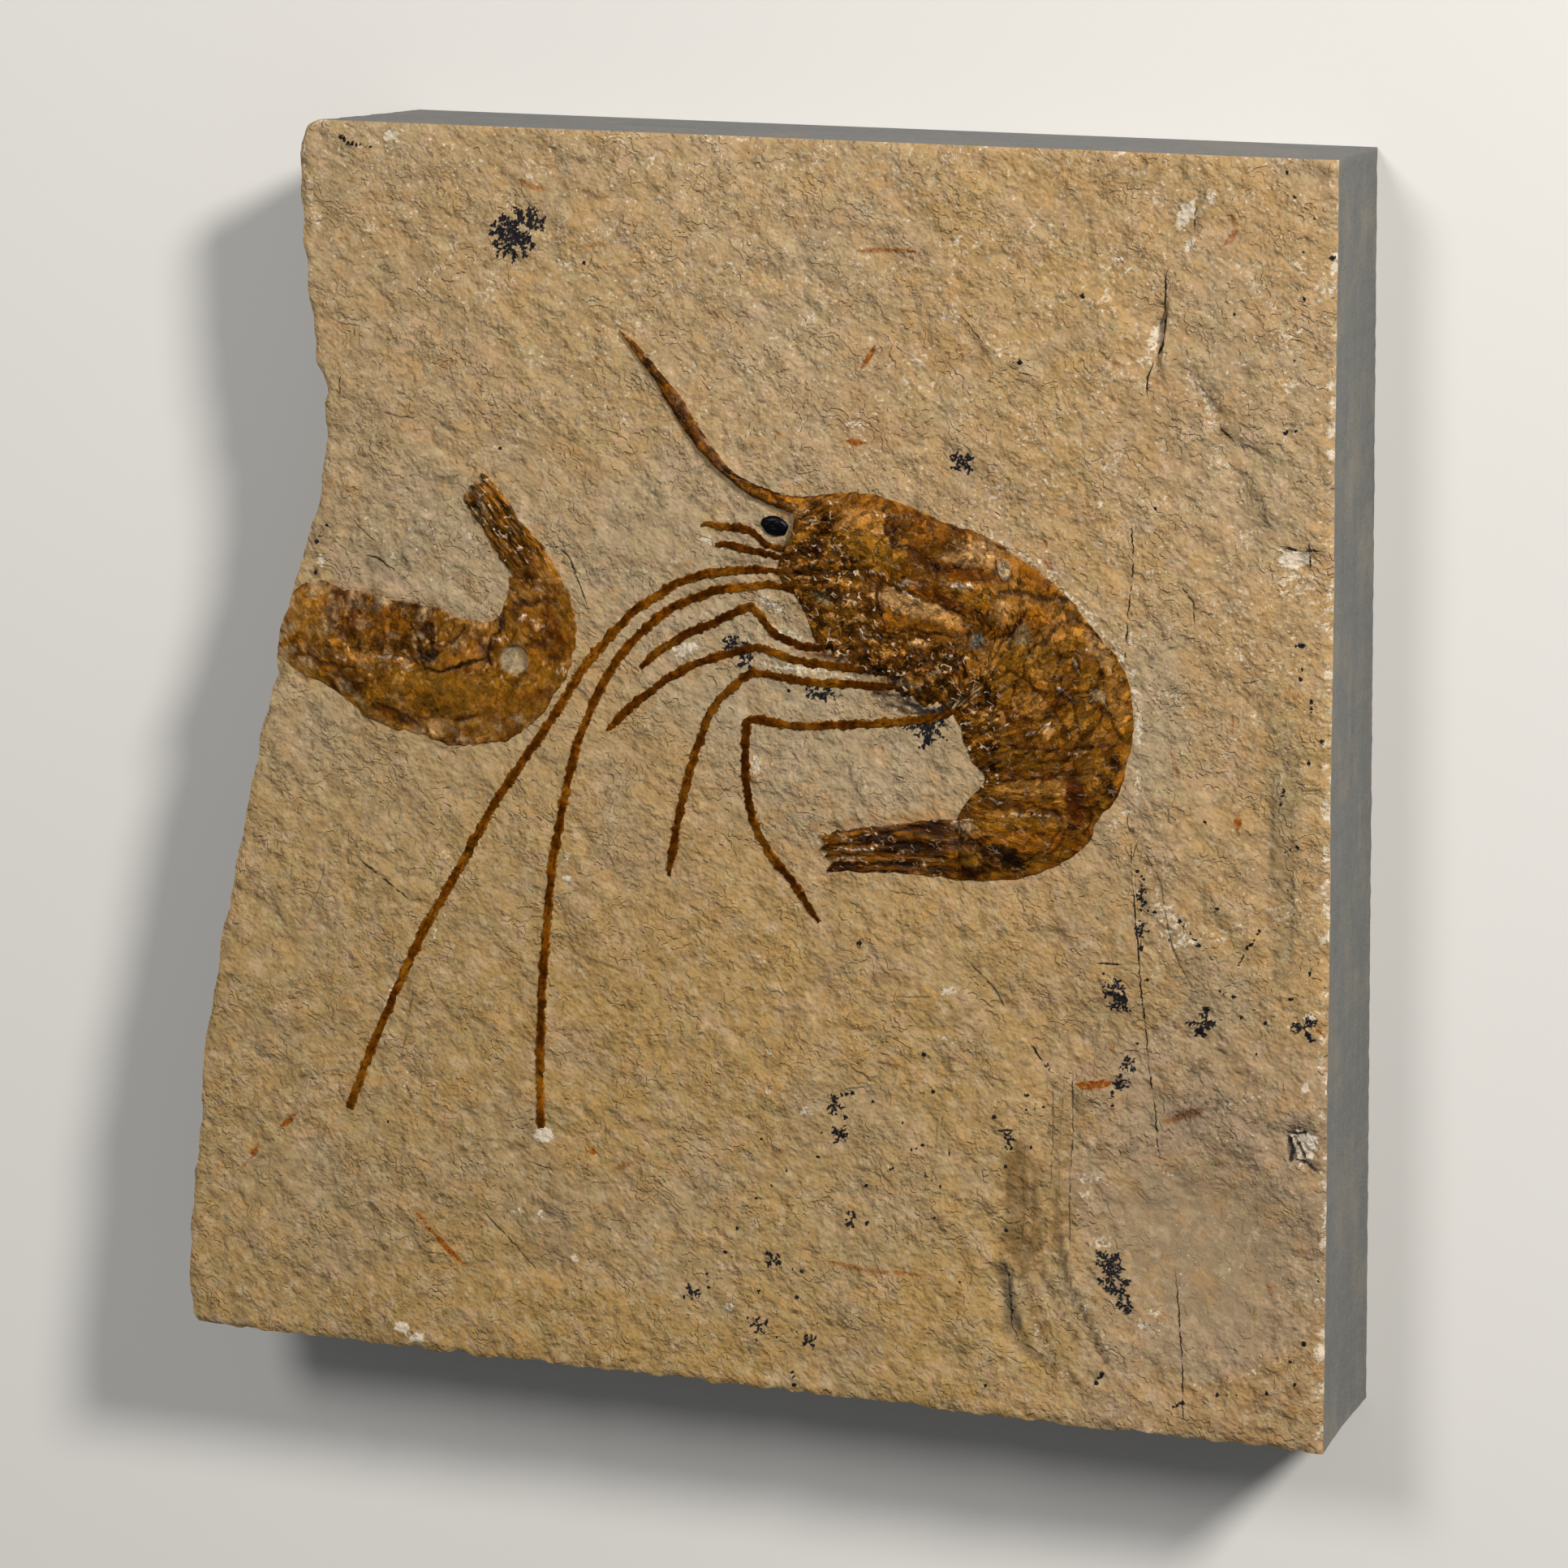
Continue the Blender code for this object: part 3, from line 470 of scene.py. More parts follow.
# Rust streaks, as the cracks
RUST_STREAKS = [
    (100, 42, [356, -291, 374, -289, 392, -284]), (90, 40, [518, -4, 517, -10, 517, -17]),
    (70, 25, [390, -247, 392, -253]), (80, 30, [561, -475, 563, -481]), (70, 30, [380, 437, 385, 436]),
    (55, 30, [490, 556, 499, 564, 501, 576, 497, 586]), (50, 30, [466, 402, 471, 397]),
    (95, 26, [120, 418, 127, 430, 133, 439]), (85, 30, [106, 344, 121, 343]),
    (70, 22, [112, 533, 140, 536, 175, 536]), (50, 30, [-255, 590, -236, 582, -220, 580]),
    (90, 28, [-520, -418, -512, -411, -502, -402]), (100, 45, [-552, -451, -548, -443]),
    (50, 25, [-568, -468, -560, -460]), (85, 24, [-363, -493, -350, -508, -342, -515]),
    (100, 32, [-342, -515, -326, -532, -312, -543]), (95, 40, [-168, -408, -163, -409]),
    (50, 25, [-140, -425, -120, -416]), (50, 25, [-86, -415, -80, -413]), (60, 22, [95, -498, 140, -503, 200, -502]),
    (45, 10, [-60, -18, -30, -17, 0, -20]), (60, 12, [509, 96, 509, 82]), (90, 30, [603, -208, 607, -213]),
    (35, 40, [-74, -35, -76, -105]), (80, 20, [312, 257, 315, 254]), (85, 22, [313, 236, 316, 234]),
    (70, 15, [344, 259, 347, 258]), (70, 22, [31, 349, 35, 347]), (50, 20, [448, 55, 456, 30]),
    (40, 25, [-180, 526, -155, 529]), (50, 18, [-131, 6, -128, 2]),
]

# Black specks of manganese
SPECKS = pairs(
    -445, 625, -437, 619, -428, 618, -413, 616, 360, 632, 550, 628, 559, 605, 578, 585, 569, 553, 597, 548, 570, 508,
    562, 448, 501, 490, 347, 500, 284, 432, 555, 377, 565, 379, 425, 296, -178, 509, -208, 375, -270, 316, 571, 169,
    578, 170, 578, 148, 577, 137, 588, 116, 588, 105, 600, 77, 587, 55, 566, -35, 578, -30, 569, -73, 594, -155, 578,
    -182, 522, -152, 526, -143, 530, -134, 537, -126, 542, -116, 498, -98, 484, -12, 416, -66, 422, -74, 419, -86,
    424, -97, 420, -105, 435, -105, 420, -121, 423, -132, 421, -144, 450, -133, 460, -113, 472, -124, 480, -136, 503,
    -180, 517, -185, 525, -205, 542, -240, 550, -208, 575, -182, 428, -175, 383, -172, 417, -243, 407, -258, 403,
    -270, 412, -270, 392, -295, 393, -308, 304, -305, 304, -320, 322, -316, 271, -330, 310, -358, 224, -370, 284,
    -380, 383, -595, 389, -585, 267, -610, 510, -593, 530, -590, 562, -585, 475, -605, 465, -610, 590, -573, 585,
    -550, 598, -530, 611, -465, 21, -377, 93, -325, 100, -325, 108, -323, 119, -320, 99, -335, 102, -343, 112, -346,
    87, -364, 108, -365, 112, -370, 141, -327, 173, -346, 195, -273, 205, -311, 183, -373, 83, -390, 163, -394, 200,
    -395, 195, -367, 224, -373, 125, -164, 33, -425, 16, -440, 49, -408, 50, -458, 74, -471, 115, -453, 135, -415,
    137, -454, 160, -397, -4, -474, -17, -500, 29, -497, 45, -510, 67, -512, -37, -525, -35, -540, -55, -547, -62,
    -553, 20, -538, 62, -540, 85, -565, 112, -562, 8, -568, 18, -590, 40, -585, 62, -577, 80, -590, 58, -620, 60,
    -633, 200, -398, 215, -407, 210, -440, 238, -505, 47, 89, 82, 86, 100, 87, -476, 176, -463, 225, -475, 208, -396,
    -400, 563, 25, 560, 12, 286, -446, 289, -492, 290, -514, 293, -530, 300, -559)

# Branching mineral growths: place, reach and number of arms, and for some the two headings that they lie between
DENDRITES = [
    (-254, 535, 26, 11), (-242, 543, 19, 7, -20, 120), (-266, 534, 15, 7), (-260, 524, 15, 6), (222, 330, 6, 6),
    (230, 329, 7, 6), (196, 73, 30, 7, -160, -50), (208, 76, 12, 5), (389, -469, 12, 6), (395, -484, 13, 6),
    (404, -499, 12, 6), (410, -513, 6, 5), (394, -190, 11, 6), (399, -203, 9, 5), (484, -215, 13, 6, 200, 340),
    (489, -209, 7, 5), (590, -209, 11, 6), (-16, 129, 10, 6), (-2, 126, 8, 5), (2, 114, 9, 5), (101, -334, 8, 5),
    (106, -366, 7, 5), (20, -575, 8, 5), (88, 89, 7, 5), (72, 90, 5, 4), (420, -90, 4, 5), (422, -124, 4, 5),
    (402, -282, 7, 5), (410, -264, 5, 4), (286, -354, 6, 4), (76, -586, 7, 4), (36, -504, 6, 4), (120, -452, 5, 4),
    (-52, -546, 6, 4),
]

# Patches on the stone, by colour: strength, centre, half sizes, turn, lift, raggedness, softness
STONE_PATCHES = [
    (CHALK, (90, -219, -396, 11, 9, 20, 8), (90, 568, 254, 15, 8.5, 5, -5), (35, 567, 228, 22, 20),
     (55, 592, -330, 15, 19, 10), (60, 595, -200, 7, 5, 0, 5), (60, 593, -270, 5, 6, 0, 5),
     (34, 378, 534, 20, 21, 20, 5), (30, 312, 554, 16, 13, 0, 5), (75, 450, 584, 7, 16, -30, 6),
     (70, 476, 602, 4, 7, 30, 5), (60, 455, 554, 3.5, 8, -20, 5), (70, 420, 462, 5, 15, -14, 0, 90, 50),
     (40, 412, 442, 7, 12, -14), (60, -390, 630, 8, 6, 0, 5), (50, 220, -205, 12, 4, 0, 5),
     (40, 218, -255, 14, 3.5, 0, 5), (40, 25, -285, 8, 6, 0, 4), (40, 30, -325, 6, 5, 0, 4),
     (40, 70, -345, 8, 7, 0, 4), (35, 20, -190, 8, 5, 0, 4), (60, -12, -558, 7, 5, 40, 5),
     (50, -185, -525, 7, 5, 0, 5), (45, -250, -480, 8, 6, 30, 5), (45, -220, -483, 7, 6, 0, 5),
     (80, -380, -620, 9, 6, -30, 5), (80, -363, -630, 8, 6, 0, 5), (35, 30, 10, 7, 5, 0, 3),
     (35, 10, 15, 6, 5, 0, 3), (45, -77, 121, 5, 4, 30, 3), (50, -44, 237, 7, 4, 30, 3), (40, -46, 162, 4, 3, 0, 3),
     (75, -193, -123, 5, 5, 0, 5), (45, -194, -100, 8, 5, 30, 4), (50, -469, 188, 4, 9, 0, 4),
     (35, 470, 414, 5, 16, 32, 4), (40, 480, 398, 5, 12, 25, 4), (40, 525, 515, 8, 6, 0, 4)),
    (SOOT, (55, 0, 129, 22, 5, -8), (40, 36, 116, 26, 3.5, -12), (35, 95, 124, 12, 5, -20), (40, 165, 84, 26, 4, 8),
     (45, 202, 76, 16, 8, 15), (25, 130, 89, 40, 7, -5), (40, 422, -86, 5, 20), (30, 455, -124, 26, 7, -35),
     (35, 396, -485, 12, 24, 25), (30, -255, 535, 19, 15), (35, 587, -314, 11, 6, 20), (30, -466, 226, 9, 7),
     (35, -475, 208, 8, 4)), (DARK, (50, -475, 176, 4, 8)), (YELLOW, (35, -240, 433, 16, 12), (30, 45, -185, 30, 20)),
    (RUST, (12, 160, -200, 26, 15), (12, 90, -215, 26, 12), (14, 345, 288, 34, 12), (13, 330, 240, 26, 7),
     (12, -180, 305, 40, 16, -30), (12, 200, 440, 50, 24, 10), (14, 120, 355, 32, 20), (12, 440, 410, 36, 22),
     (10, -125, -460, 46, 16, 30)),
    (BUFF, (50, 265, 585, 22, 16), (50, -5, 522, 16, 15, 0, 5), (40, 375, 34, 20, 40)),
    (EARTH, (30, 304, -436, 24, 46, 0, -3), (35, 342, -380, 9, 95, 0, -3), (50, 288, -374, 7, 13, 0, -5)),
    (GREY_STONE, (50, 365, -490, 30, 26, -40)), (PINK_STONE, (70, 376, -396, 26, 18, 0, 5)),
    (CHALK, (40, 372, -386, 26, 6, -5, 4), (35, 368, -404, 10, 10, 0, 4), (30, 406, -426, 3, 26, 0, 2),
     (30, 520, -290, 30, 8, 20, 3), (40, 450, -370, 16, 4, -20, 3)), (PINK_STONE, (70, 490, -314, 40, 24, 10, -3)),
    (rgb(104, 66, 34), (85, 469, -310, 26, 5, 22, -5)), (CHALK, (35, 383, -449, 15, 10, 0, 2)),
    (RUST, (70, 449, -319, 6, 3, 30)), (EARTH, (40, 510, -345, 12, 22), (40, 372, -316, 8, 22, 30, -4)),
    (CHALK, (95, 595, -326, 12, 8, 30, 10)), (SOOT, (70, 580, -334, 5, 10, 20, -15)),
    (GREY_STONE, (60, 486, -578, 20, 6, 0, 2)),
    (CHALK, (60, 440, -516, 9, 2.5, -5, 3), (50, 428, -530, 9, 4, -20, 3), (40, 496, -550, 8, 3, 30, 3)),
    (EARTH, (45, 468, -260, 34, 5, 15), (40, 565, -80, 10, 85, 2, -4)), (DRAB, (80, 562, 50, 19, 60, 8)),
    (CHALK, (40, 456, -118, 30, 15, -48, 5)), (DRAB, (60, 564, -80, 12, 100, 2)),
    (CHALK, (55, -65, 123, 19, 6, 20, 3), (50, 26, 174, 16, 7, -30, 3), (55, 44, 145, 20, 5, -18, 3),
     (50, 56, 113, 30, 3.5, -3, 3), (50, 12, 9, 5, 13, 0, 3), (45, -34, 232, 10, 3.5, -10, 3)),
    (DARK, (60, 62, 170, 13, 5, -40, 2), (55, 76, 146, 12, 5, -60, 2)),
    (BROWN, (60, 40, 268, 8, 3.5, 10, 2), (55, 46, 216, 9, 26, 5, 2)), (GREY_STONE, (50, 500, -190, 40, 40)),
]

# Soft lines on the stone, by colour: strength, width, line, lift, raggedness, softness
STONE_STROKES = [
    (EARTH, (80, 380, [300, -356, 300, -400, 302, -436, 304, -486], -2, 25)),
    (OCHRE, (40, 40, [307, -370, 309, -420, 306, -472], 5, 30, 30)),
    (EARTH, (80, 100, [337, -400, 340, -446, 349, -496], -2, 30, 50)),
    (SHADE, (45, 60, [286, -382, 285, -420, 283, -476], -4), (50, 40, [315, -380, 317, -430, 324, -480], -4)),
    (SOOT, (75, 100, [284, -474, 289, -500, 293, -526, 303, -550], -8, 90, 40)),
    (EARTH, (70, 80, [302, -546, 316, -570, 344, -590], -5, 40, 40)),
    (INK, (95, 40, [576, -320, 581, -334, 579, -348], -10, 70, 25),
     (95, 35, [584, -343, 596, -345, 604, -352, 612, -355], -10, 70, 25),
     (90, 30, [582, -320, 589, -332, 594, -342], -10, 70, 25),
     (85, 30, [576, -316, 586, -317, 596, -314], -6, 70, 25)),
    (SHADE, (50, 30, [554, 60, 552, 0, 554, -80, 559, -165], -3), (50, 30, [577, 20, 574, -60, 576, -160], -3)),
    (CHALK, (50, 40, [223, 268, 260, 255, 290, 242, 335, 211, 360, 185, 387, 160, 405, 129, 413, 92, 415, 50], -6),
     (36, 80, [415, 50, 414, 20, 410, 0, 395, -16, 383, -26], -8),
     (30, 70, [-210, 216, -196, 196, -184, 172, -178, 148, -176, 125], -10),
     (35, 70, [-330, 248, -310, 234, -290, 210, -272, 189], 3), (40, 50, [-345, -96, -309, -134], 3),
     (35, 50, [-332, -170, -363, -242, -383, -295], 3), (40, 40, [-385, -240, -403, -284], 2),
     (35, 50, [-365, -310, -375, -350, -383, -390], 2), (30, 70, [-330, 500, -350, 480, -365, 465]),
     (30, 60, [-90, 328, -50, 306, -20, 286, 20, 273]), (34, 130, [454, 440, 462, 420, 472, 398, 484, 374], 3),
     (35, 100, [435, -80, 445, -125, 460, -155])),
    (SHADE, (30, 80, [410, -30, 426, -54, 442, -82, 454, -130, 480, -186], -6)),
    (CHALK, (30, 70, [310, -530, 330, -565, 360, -600], 4), (35, 60, [360, -500, 384, -542, 410, -580], 4)),
    (SHADE, (70, 80, [278, -470, 283, -505, 289, -548, 306, -570, 335, -586], -5),
     (30, 70, [356, -280, 358, -350, 356, -450], -3), (25, 70, [336, -280, 337, -350, 336, -410], -3),
     (55, 100, [472, 430, 482, 404, 496, 379, 514, 366, 540, 354], -6),
     (50, 80, [523, 340, 526, 314, 538, 296, 556, 284], -4), (35, 70, [469, 620, 468, 600, 463, 576], -3),
     (95, 70, [338, -435, 350, -490, 373, -536, 395, -577], -6), (85, 60, [318, -473, 345, -527, 364, -559], -5)),
    (EARTH, (70, 110, [300, -485, 316, -530, 340, -580, 370, -604], -5)),
    (BUFF, (60, 60, [296, -490, 310, -540, 340, -584], 6), (60, 60, [330, -470, 356, -526, 386, -576], 6)),
    (EARTH, (45, 60, [200, -215, 240, -240, 275, -266, 310, -274], -5),
     (40, 50, [270, -200, 306, -244, 326, -270, 350, -276], -5)),
    (PINK_STONE, (70, 90, [360, -270, 395, -300, 415, -340, 416, -365])),
    (SHADE, (45, 50, [-435, 236, -410, 206, -385, 184]), (45, 50, [-402, 242, -378, 206, -364, 180]),
     (40, 50, [-366, 236, -346, 186, -328, 154]), (35, 40, [-346, 250, -326, 206, -314, 170])),
    (CHALK, (40, 50, [-424, 244, -394, 206, -368, 168], 2), (40, 50, [-384, 246, -358, 198, -338, 162], 2),
     (35, 50, [-354, 242, -332, 196, -320, 162], 2)), (PINK_STONE, (60, 160, [-450, 179, -410, 186, -384, 174], 2)),
    (BROWN, (50, 80, [-470, 169, -435, 162, -395, 156, -350, 150, -310, 138])),
    (TAN, (55, 70, [70, -49, 110, -41, 160, -33, 216, -23], 2)),
    (BUFF, (60, 35, [60, -56, 76, -54, 95, -52], 2), (60, 35, [63, -66, 90, -63], 2)),
    (TAN, (45, 40, [62, -76, 92, -70], 2)), (SHADE, (30, 50, [-260, -509, -229, -542])),
    (CHALK, (42, 50, [0, 117, 30, 112, 60, 109.5, 100, 108.5, 130, 108]), (30, 60, [20, 154, 42, 142, 64, 139])),
    (GREY_STONE, (80, 100, [100, 92, 140, 91, 186, 92])),
    (DARK, (90, 70, [68, 129, 90, 128, 116, 124, 136, 118], 5, 90, 30),
     (90, 60, [96, 122, 114, 115, 134, 112, 154, 106], 5, 90, 30), (85, 80, [132, 97, 156, 92, 182, 83], 5, 90, 40)),
    (INK, (90, 90, [172, 84, 190, 78, 208, 78, 222, 81], 5, 90, 40)),
    (DARK, (80, 50, [146, 87, 164, 79, 184, 74], 3, 90, 40)),
    (BROWN, (80, 60, [106, 127, 134, 122, 158, 102], 5, 90, 30), (70, 50, [46, 133, 70, 126, 94, 123], 3, 90, 30)),
    (DARK, (55, 60, [44, 249, 36, 236, 36, 224, 34, 214], 2), (50, 50, [16, 239, 28, 234, 44, 232], 2),
     (45, 35, [-16, 217, 6, 217.5, 28, 217.5], 2), (40, 35, [4, 199, 24, 200, 46, 196], 2)),
    (GREY_STONE, (50, 140, [-120, 192, -160, 190, -190, 184])), (RUST, (18, 90, [-165, 206, -100, 210, -56, 212])),
]

FACE_SPACING = 0.5
NEAR_MARK = 1.0
OFF = -5.0                        # half width or size where there is no mark


def line_field(x, y, lines):
    """Each point's signed distance from the nearest line, that line's half width there, and its strength."""
    field = np.zeros((len(x), 3))
    field[:, 0] = 9
    field[:, 1] = OFF
    nearest = np.full(len(x), NEAR_MARK)
    for strength, half, line in lines:
        line = pairs(*line)
        where = within(x, y, line, NEAR_MARK)
        signed, place = along_line(x[where], y[where], line)
        taper = half / 100 * (0.25 + 0.75 * smooth(place, 0, 0.15) * smooth(1 - place, 0, 0.15))
        past = np.abs(signed) > np.abs(nearest[where])
        keep = where[~past]
        nearest[keep] = np.abs(signed[~past])
        field[keep, 0] = signed[~past]
        field[keep, 1] = taper[~past]
        field[keep, 2] = strength / 100
    return field


def speck_field(x, y):
    """Each point's offset from the nearest speck, and that speck's radius."""
    dice = np.random.default_rng(5)
    field = np.zeros((len(x), 3))
    field[:, 2] = OFF
    nearest = np.full(len(x), NEAR_MARK)
    for sx, sy in SPECKS:
        radius = dice.uniform(0.11, 0.27)
        where = within(x, y, [(sx, sy)], NEAR_MARK)
        reach = np.hypot(x[where] - sx, y[where] - sy)
        keep = where[reach < nearest[where]]
        nearest[keep] = np.hypot(x[keep] - sx, y[keep] - sy)
        field[keep, 0] = x[keep] - sx
        field[keep, 1] = y[keep] - sy
        field[keep, 2] = radius
    return field


def dendrite(cx, cy, reach, arms, seed, start=0, end=360):
    """The lobes of a branching growth, as two points and a half width each."""
    dice = np.random.default_rng(seed)
    lobes = []
    for arm in range(arms):
        heading = math.radians(start + (end - start) * (arm + 0.5 + dice.uniform(-0.3, 0.3)) / arms)
        place = Vector((cx, cy))
        left = reach * dice.uniform(0.6, 1.05)
        while left > 0:
            stride = 0.34
            heading += dice.uniform(-0.4, 0.4)
            ahead = place + Vector((math.cos(heading), math.sin(heading))) * stride
            lobes.append((place.copy(), ahead, 0.09))
            for side in (-1, 1):
                if dice.uniform() < 0.75:
                    turned = heading + side * dice.uniform(0.6, 1.2)
                    tip = ahead + Vector((math.cos(turned), math.sin(turned))) * dice.uniform(0.15, 0.5)
                    lobes.append((ahead.copy(), tip, dice.uniform(0.08, 0.15)))
            place = ahead
            left -= stride
    return lobes


def smooth_disc(x, y):
    """1 on the smooth round area of the lower right quarter, 0 outside it, and the distance from its middle."""
    reach = np.hypot(x - 49, y + 45) + 0.8 * noise(x, y, 4, 85)
    return 1 - smooth(reach, 5, 14), reach


def growth_field(x, y):
    """How far each point is outside the lobes of the branching growths, and how smooth the stone is there."""
    field = np.full((len(x), 3), NEAR_MARK)
    field[:, 1] = smooth_disc(x, y)[0]
    for k, (cx, cy, reach, arms, *between) in enumerate(DENDRITES):
        cx, cy, reach = cx / 10, cy / 10, reach / 10
        where = within(x, y, [(cx, cy)], reach * 1.4 + 0.4)
        for a, b, half in dendrite(cx, cy, reach, arms, 200 + k, *between):
            signed, _ = along_line(x[where], y[where], [a, b])
            field[where, 0] = np.minimum(field[where, 0], np.abs(signed) - half)
    return field


def paint_face(x, y, right):
    """The split face's colours and small lifts."""
    c = Canvas(x, y, OCHRE)
    c.lay(smooth(-0.4 * x - y, -20, 40) * 0.85, YELLOW)
    broad = fractal(x, y, 24, 61, 3)
    c.lay(smooth(broad, -0.2, 0.9) * 0.4, YELLOW)
    c.lay(smooth(-broad, 0, 0.9) * 0.4, GREY_STONE)
    c.lay(smooth(fractal(x, y, 9, 65, 3), 0.1, 1.1) * 0.45, BUFF)
    c.lay(smooth(fractal(x, y, 6, 69, 3), 0.4, 1.2) * 0.25, DRAB)
    c.lay(smooth(fractal(x, y, 7, 71, 4), 0.1, 0.8) * 0.35, PINK_STONE)
    c.lay(smooth(0.5 * y - x, -5, 40) * 0.3, BUFF)
    c.lay(smooth(x, 30, 44) * smooth(-y, 18, 32) * 0.8, PINK_STONE)
    for cx, cy, rx, ry in ((-34, 20, 15, 11), (10, 2, 16, 10), (-8, 22, 16, 11),
                           (43, 8, 4, 13), (0, 10, 14, 8)):
        near = 1 - smooth(np.hypot((x - cx) / rx, (y - cy) / ry), 0.5, 1.2)
        c.lay(near * 0.6, GREY_STONE)
    # Painted shade: darker towards the left and the bottom, where less light falls.
    c.shade(1.03 - 0.1 * smooth(-x, -10, 45) - 0.08 * smooth(-y, -20, 40))
    c.shade(1 + 0.07 * fractal(x, y, 2.6, 73, 2))
    slanted = noise(0.8 * x + 0.6 * y, 2.2 * (0.8 * y - 0.6 * x), 3, 77)
    c.lay(smooth(slanted, 0.35, 0.9) * 0.25, SHADE)
    c.chalk += 0.04 + 0.17 * smooth(0.5 * x + y, -10, 45)
    c.chalk += 0.08 * smooth(x, 32, 44) * smooth(-y, 0, 20)
    c.chalk += 0.12 * smooth(fractal(x, y, 4, 79, 2), 0.2, 0.9)
    rim = right - x
    chipped = fractal(x, y, 1.4, 81, 2)
    c.lay(fall(rim, 0.2, 1.3) * smooth(chipped, -0.5, 0.6) * 0.6, CHALK, -0.12)
    c.lay(fall(TOP_SIDE - y, 0.1, 0.8) * smooth(chipped, 0, 0.8) * 0.5, CHALK, -0.08)
    corner = fall(y - BOTTOM_SIDE, 0, 2.2 + 1.2 * chipped) * smooth(chipped, -0.4, 0.6)
    c.lay(corner * 0.45, SHADE, -0.1)
    inside, disc = smooth_disc(x, y)
    c.lay(inside * 0.5, rgb(156, 134, 102))
    outside = smooth(disc, 12, 13.5) * smooth(x, 40, 46) * smooth(-y, 48, 52)
    c.lay(outside * 0.6, rgb(164, 128, 76))
    c.chalk += 0.12 * outside * bump(disc - 13, 1.2)
    c.marks(STONE_PATCHES, STONE_STROKES)
    return c


def border(rows, columns):
    """Indices of a grid's outer points, once round."""
    loop = [c for c in range(columns)]
    loop += [r * columns + columns - 1 for r in range(1, rows)]
    loop += [(rows - 1) * columns + c for c in range(columns - 2, -1, -1)]
    loop += [r * columns for r in range(rows - 2, 0, -1)]
    return np.array(loop)


def grid_faces(rows, columns):
    low = (np.arange(rows - 1)[:, None] * columns + np.arange(columns - 1)).ravel()
    return np.stack([low, low + 1, low + columns + 1, low + columns], 1).tolist()


def undercut(x, y, level, share):
    """How far a broken side draws back under the face, at a level from 1 at the face to 0 at the back."""
    depth = 1 - level
    uneven = 0.5 * noise(y, 9 * depth, 7, 121) + 0.3 * noise(y, 12 * depth, 2.6, 122)
    corner = 2.6 * smooth(y, 38, 60)
    left = np.maximum(0, (1.9 + corner) * depth ** 0.7 + uneven * min(1, 3 * depth))
    chips = 0.3 * noise(x, 9 * depth, 6, 123) + 0.2 * noise(x, 12 * depth, 2.2, 124)
    bottom = np.maximum(0, 1.1 * depth ** 0.6 + chips * min(1, 3 * depth))
    return left * np.maximum(0, 1 - share / 0.14), bottom * np.maximum(0, 1 - (y - BOTTOM_SIDE) / 6)


def add_mesh(name, vertices, faces, finishes, fields, kinds=None, smooth_angle=40):
    """An object from points in millimetres, with fields of one value a point."""
    mesh = bpy.data.meshes.new(name)
    mesh.from_pydata(np.asarray(vertices, float) * MM, [], faces)
    for finish in finishes:
        mesh.materials.append(finish)
    if kinds is not None:
        mesh.polygons.foreach_set("material_index", np.asarray(kinds, np.int32))
    for field, values in fields.items():
        width = values.shape[1]
        kind, label = ("FLOAT_COLOR", "color") if width == 4 else ("FLOAT_VECTOR", "vector")
        layer = mesh.attributes.new(field, kind, "POINT")
        layer.data.foreach_set(label, values.astype(np.float32).ravel())
    shape = bmesh.new()
    shape.from_mesh(mesh)
    bmesh.ops.recalc_face_normals(shape, faces=shape.faces)
    shape.to_mesh(mesh)
    shape.free()
    mesh.shade_smooth()
    mesh.set_sharp_from_angle(angle=math.radians(smooth_angle))
    thing = bpy.data.objects.new(name, mesh)
    bpy.context.scene.collection.objects.link(thing)
    return thing


def row_place(x, y, z):
    """Drawing points as points of the row, in millimetres."""
    return np.stack([x - FACE_CENTRE[0], y - FACE_CENTRE[1], z], 1)


def with_alpha(colour, alpha=None):
    alpha = np.ones(len(colour)) if alpha is None else alpha
    return np.concatenate([np.clip(colour, 0, 1), alpha[:, None]], 1)


def right_side(y):
    return RIGHT_AT_TOP + (RIGHT_AT_BOTTOM - RIGHT_AT_TOP) * (TOP_SIDE - y) / (TOP_SIDE - BOTTOM_SIDE)


def face_grid(spacing):
    """The face's points in rows, with its broken left and bottom rims."""
    rows = round((TOP_SIDE - BOTTOM_SIDE) / spacing) + 1
    columns = round(110 / spacing) + 1
    y = np.repeat(np.linspace(BOTTOM_SIDE, TOP_SIDE, rows), columns)
    share = np.tile(np.linspace(0, 1, columns), rows)
    left = left_rim(y)
    x = left + (right_side(y) - left) * share
    inside = 0.06 * noise(y, 3 + 0 * y, 1.2, 93) * smooth(share, 0.97, 1)
    x = x + inside
    lift = 0.32 * noise(x, 0 * x, 2.2, 94) + 0.12 * noise(x, 0 * x, 0.7, 95) + 0.1
    y = y + lift * np.clip(1 - (y - BOTTOM_SIDE) / 2.5, 0, 1) ** 2 * smooth(-share, -1, -0.97)
    return x, y, share, rows, columns


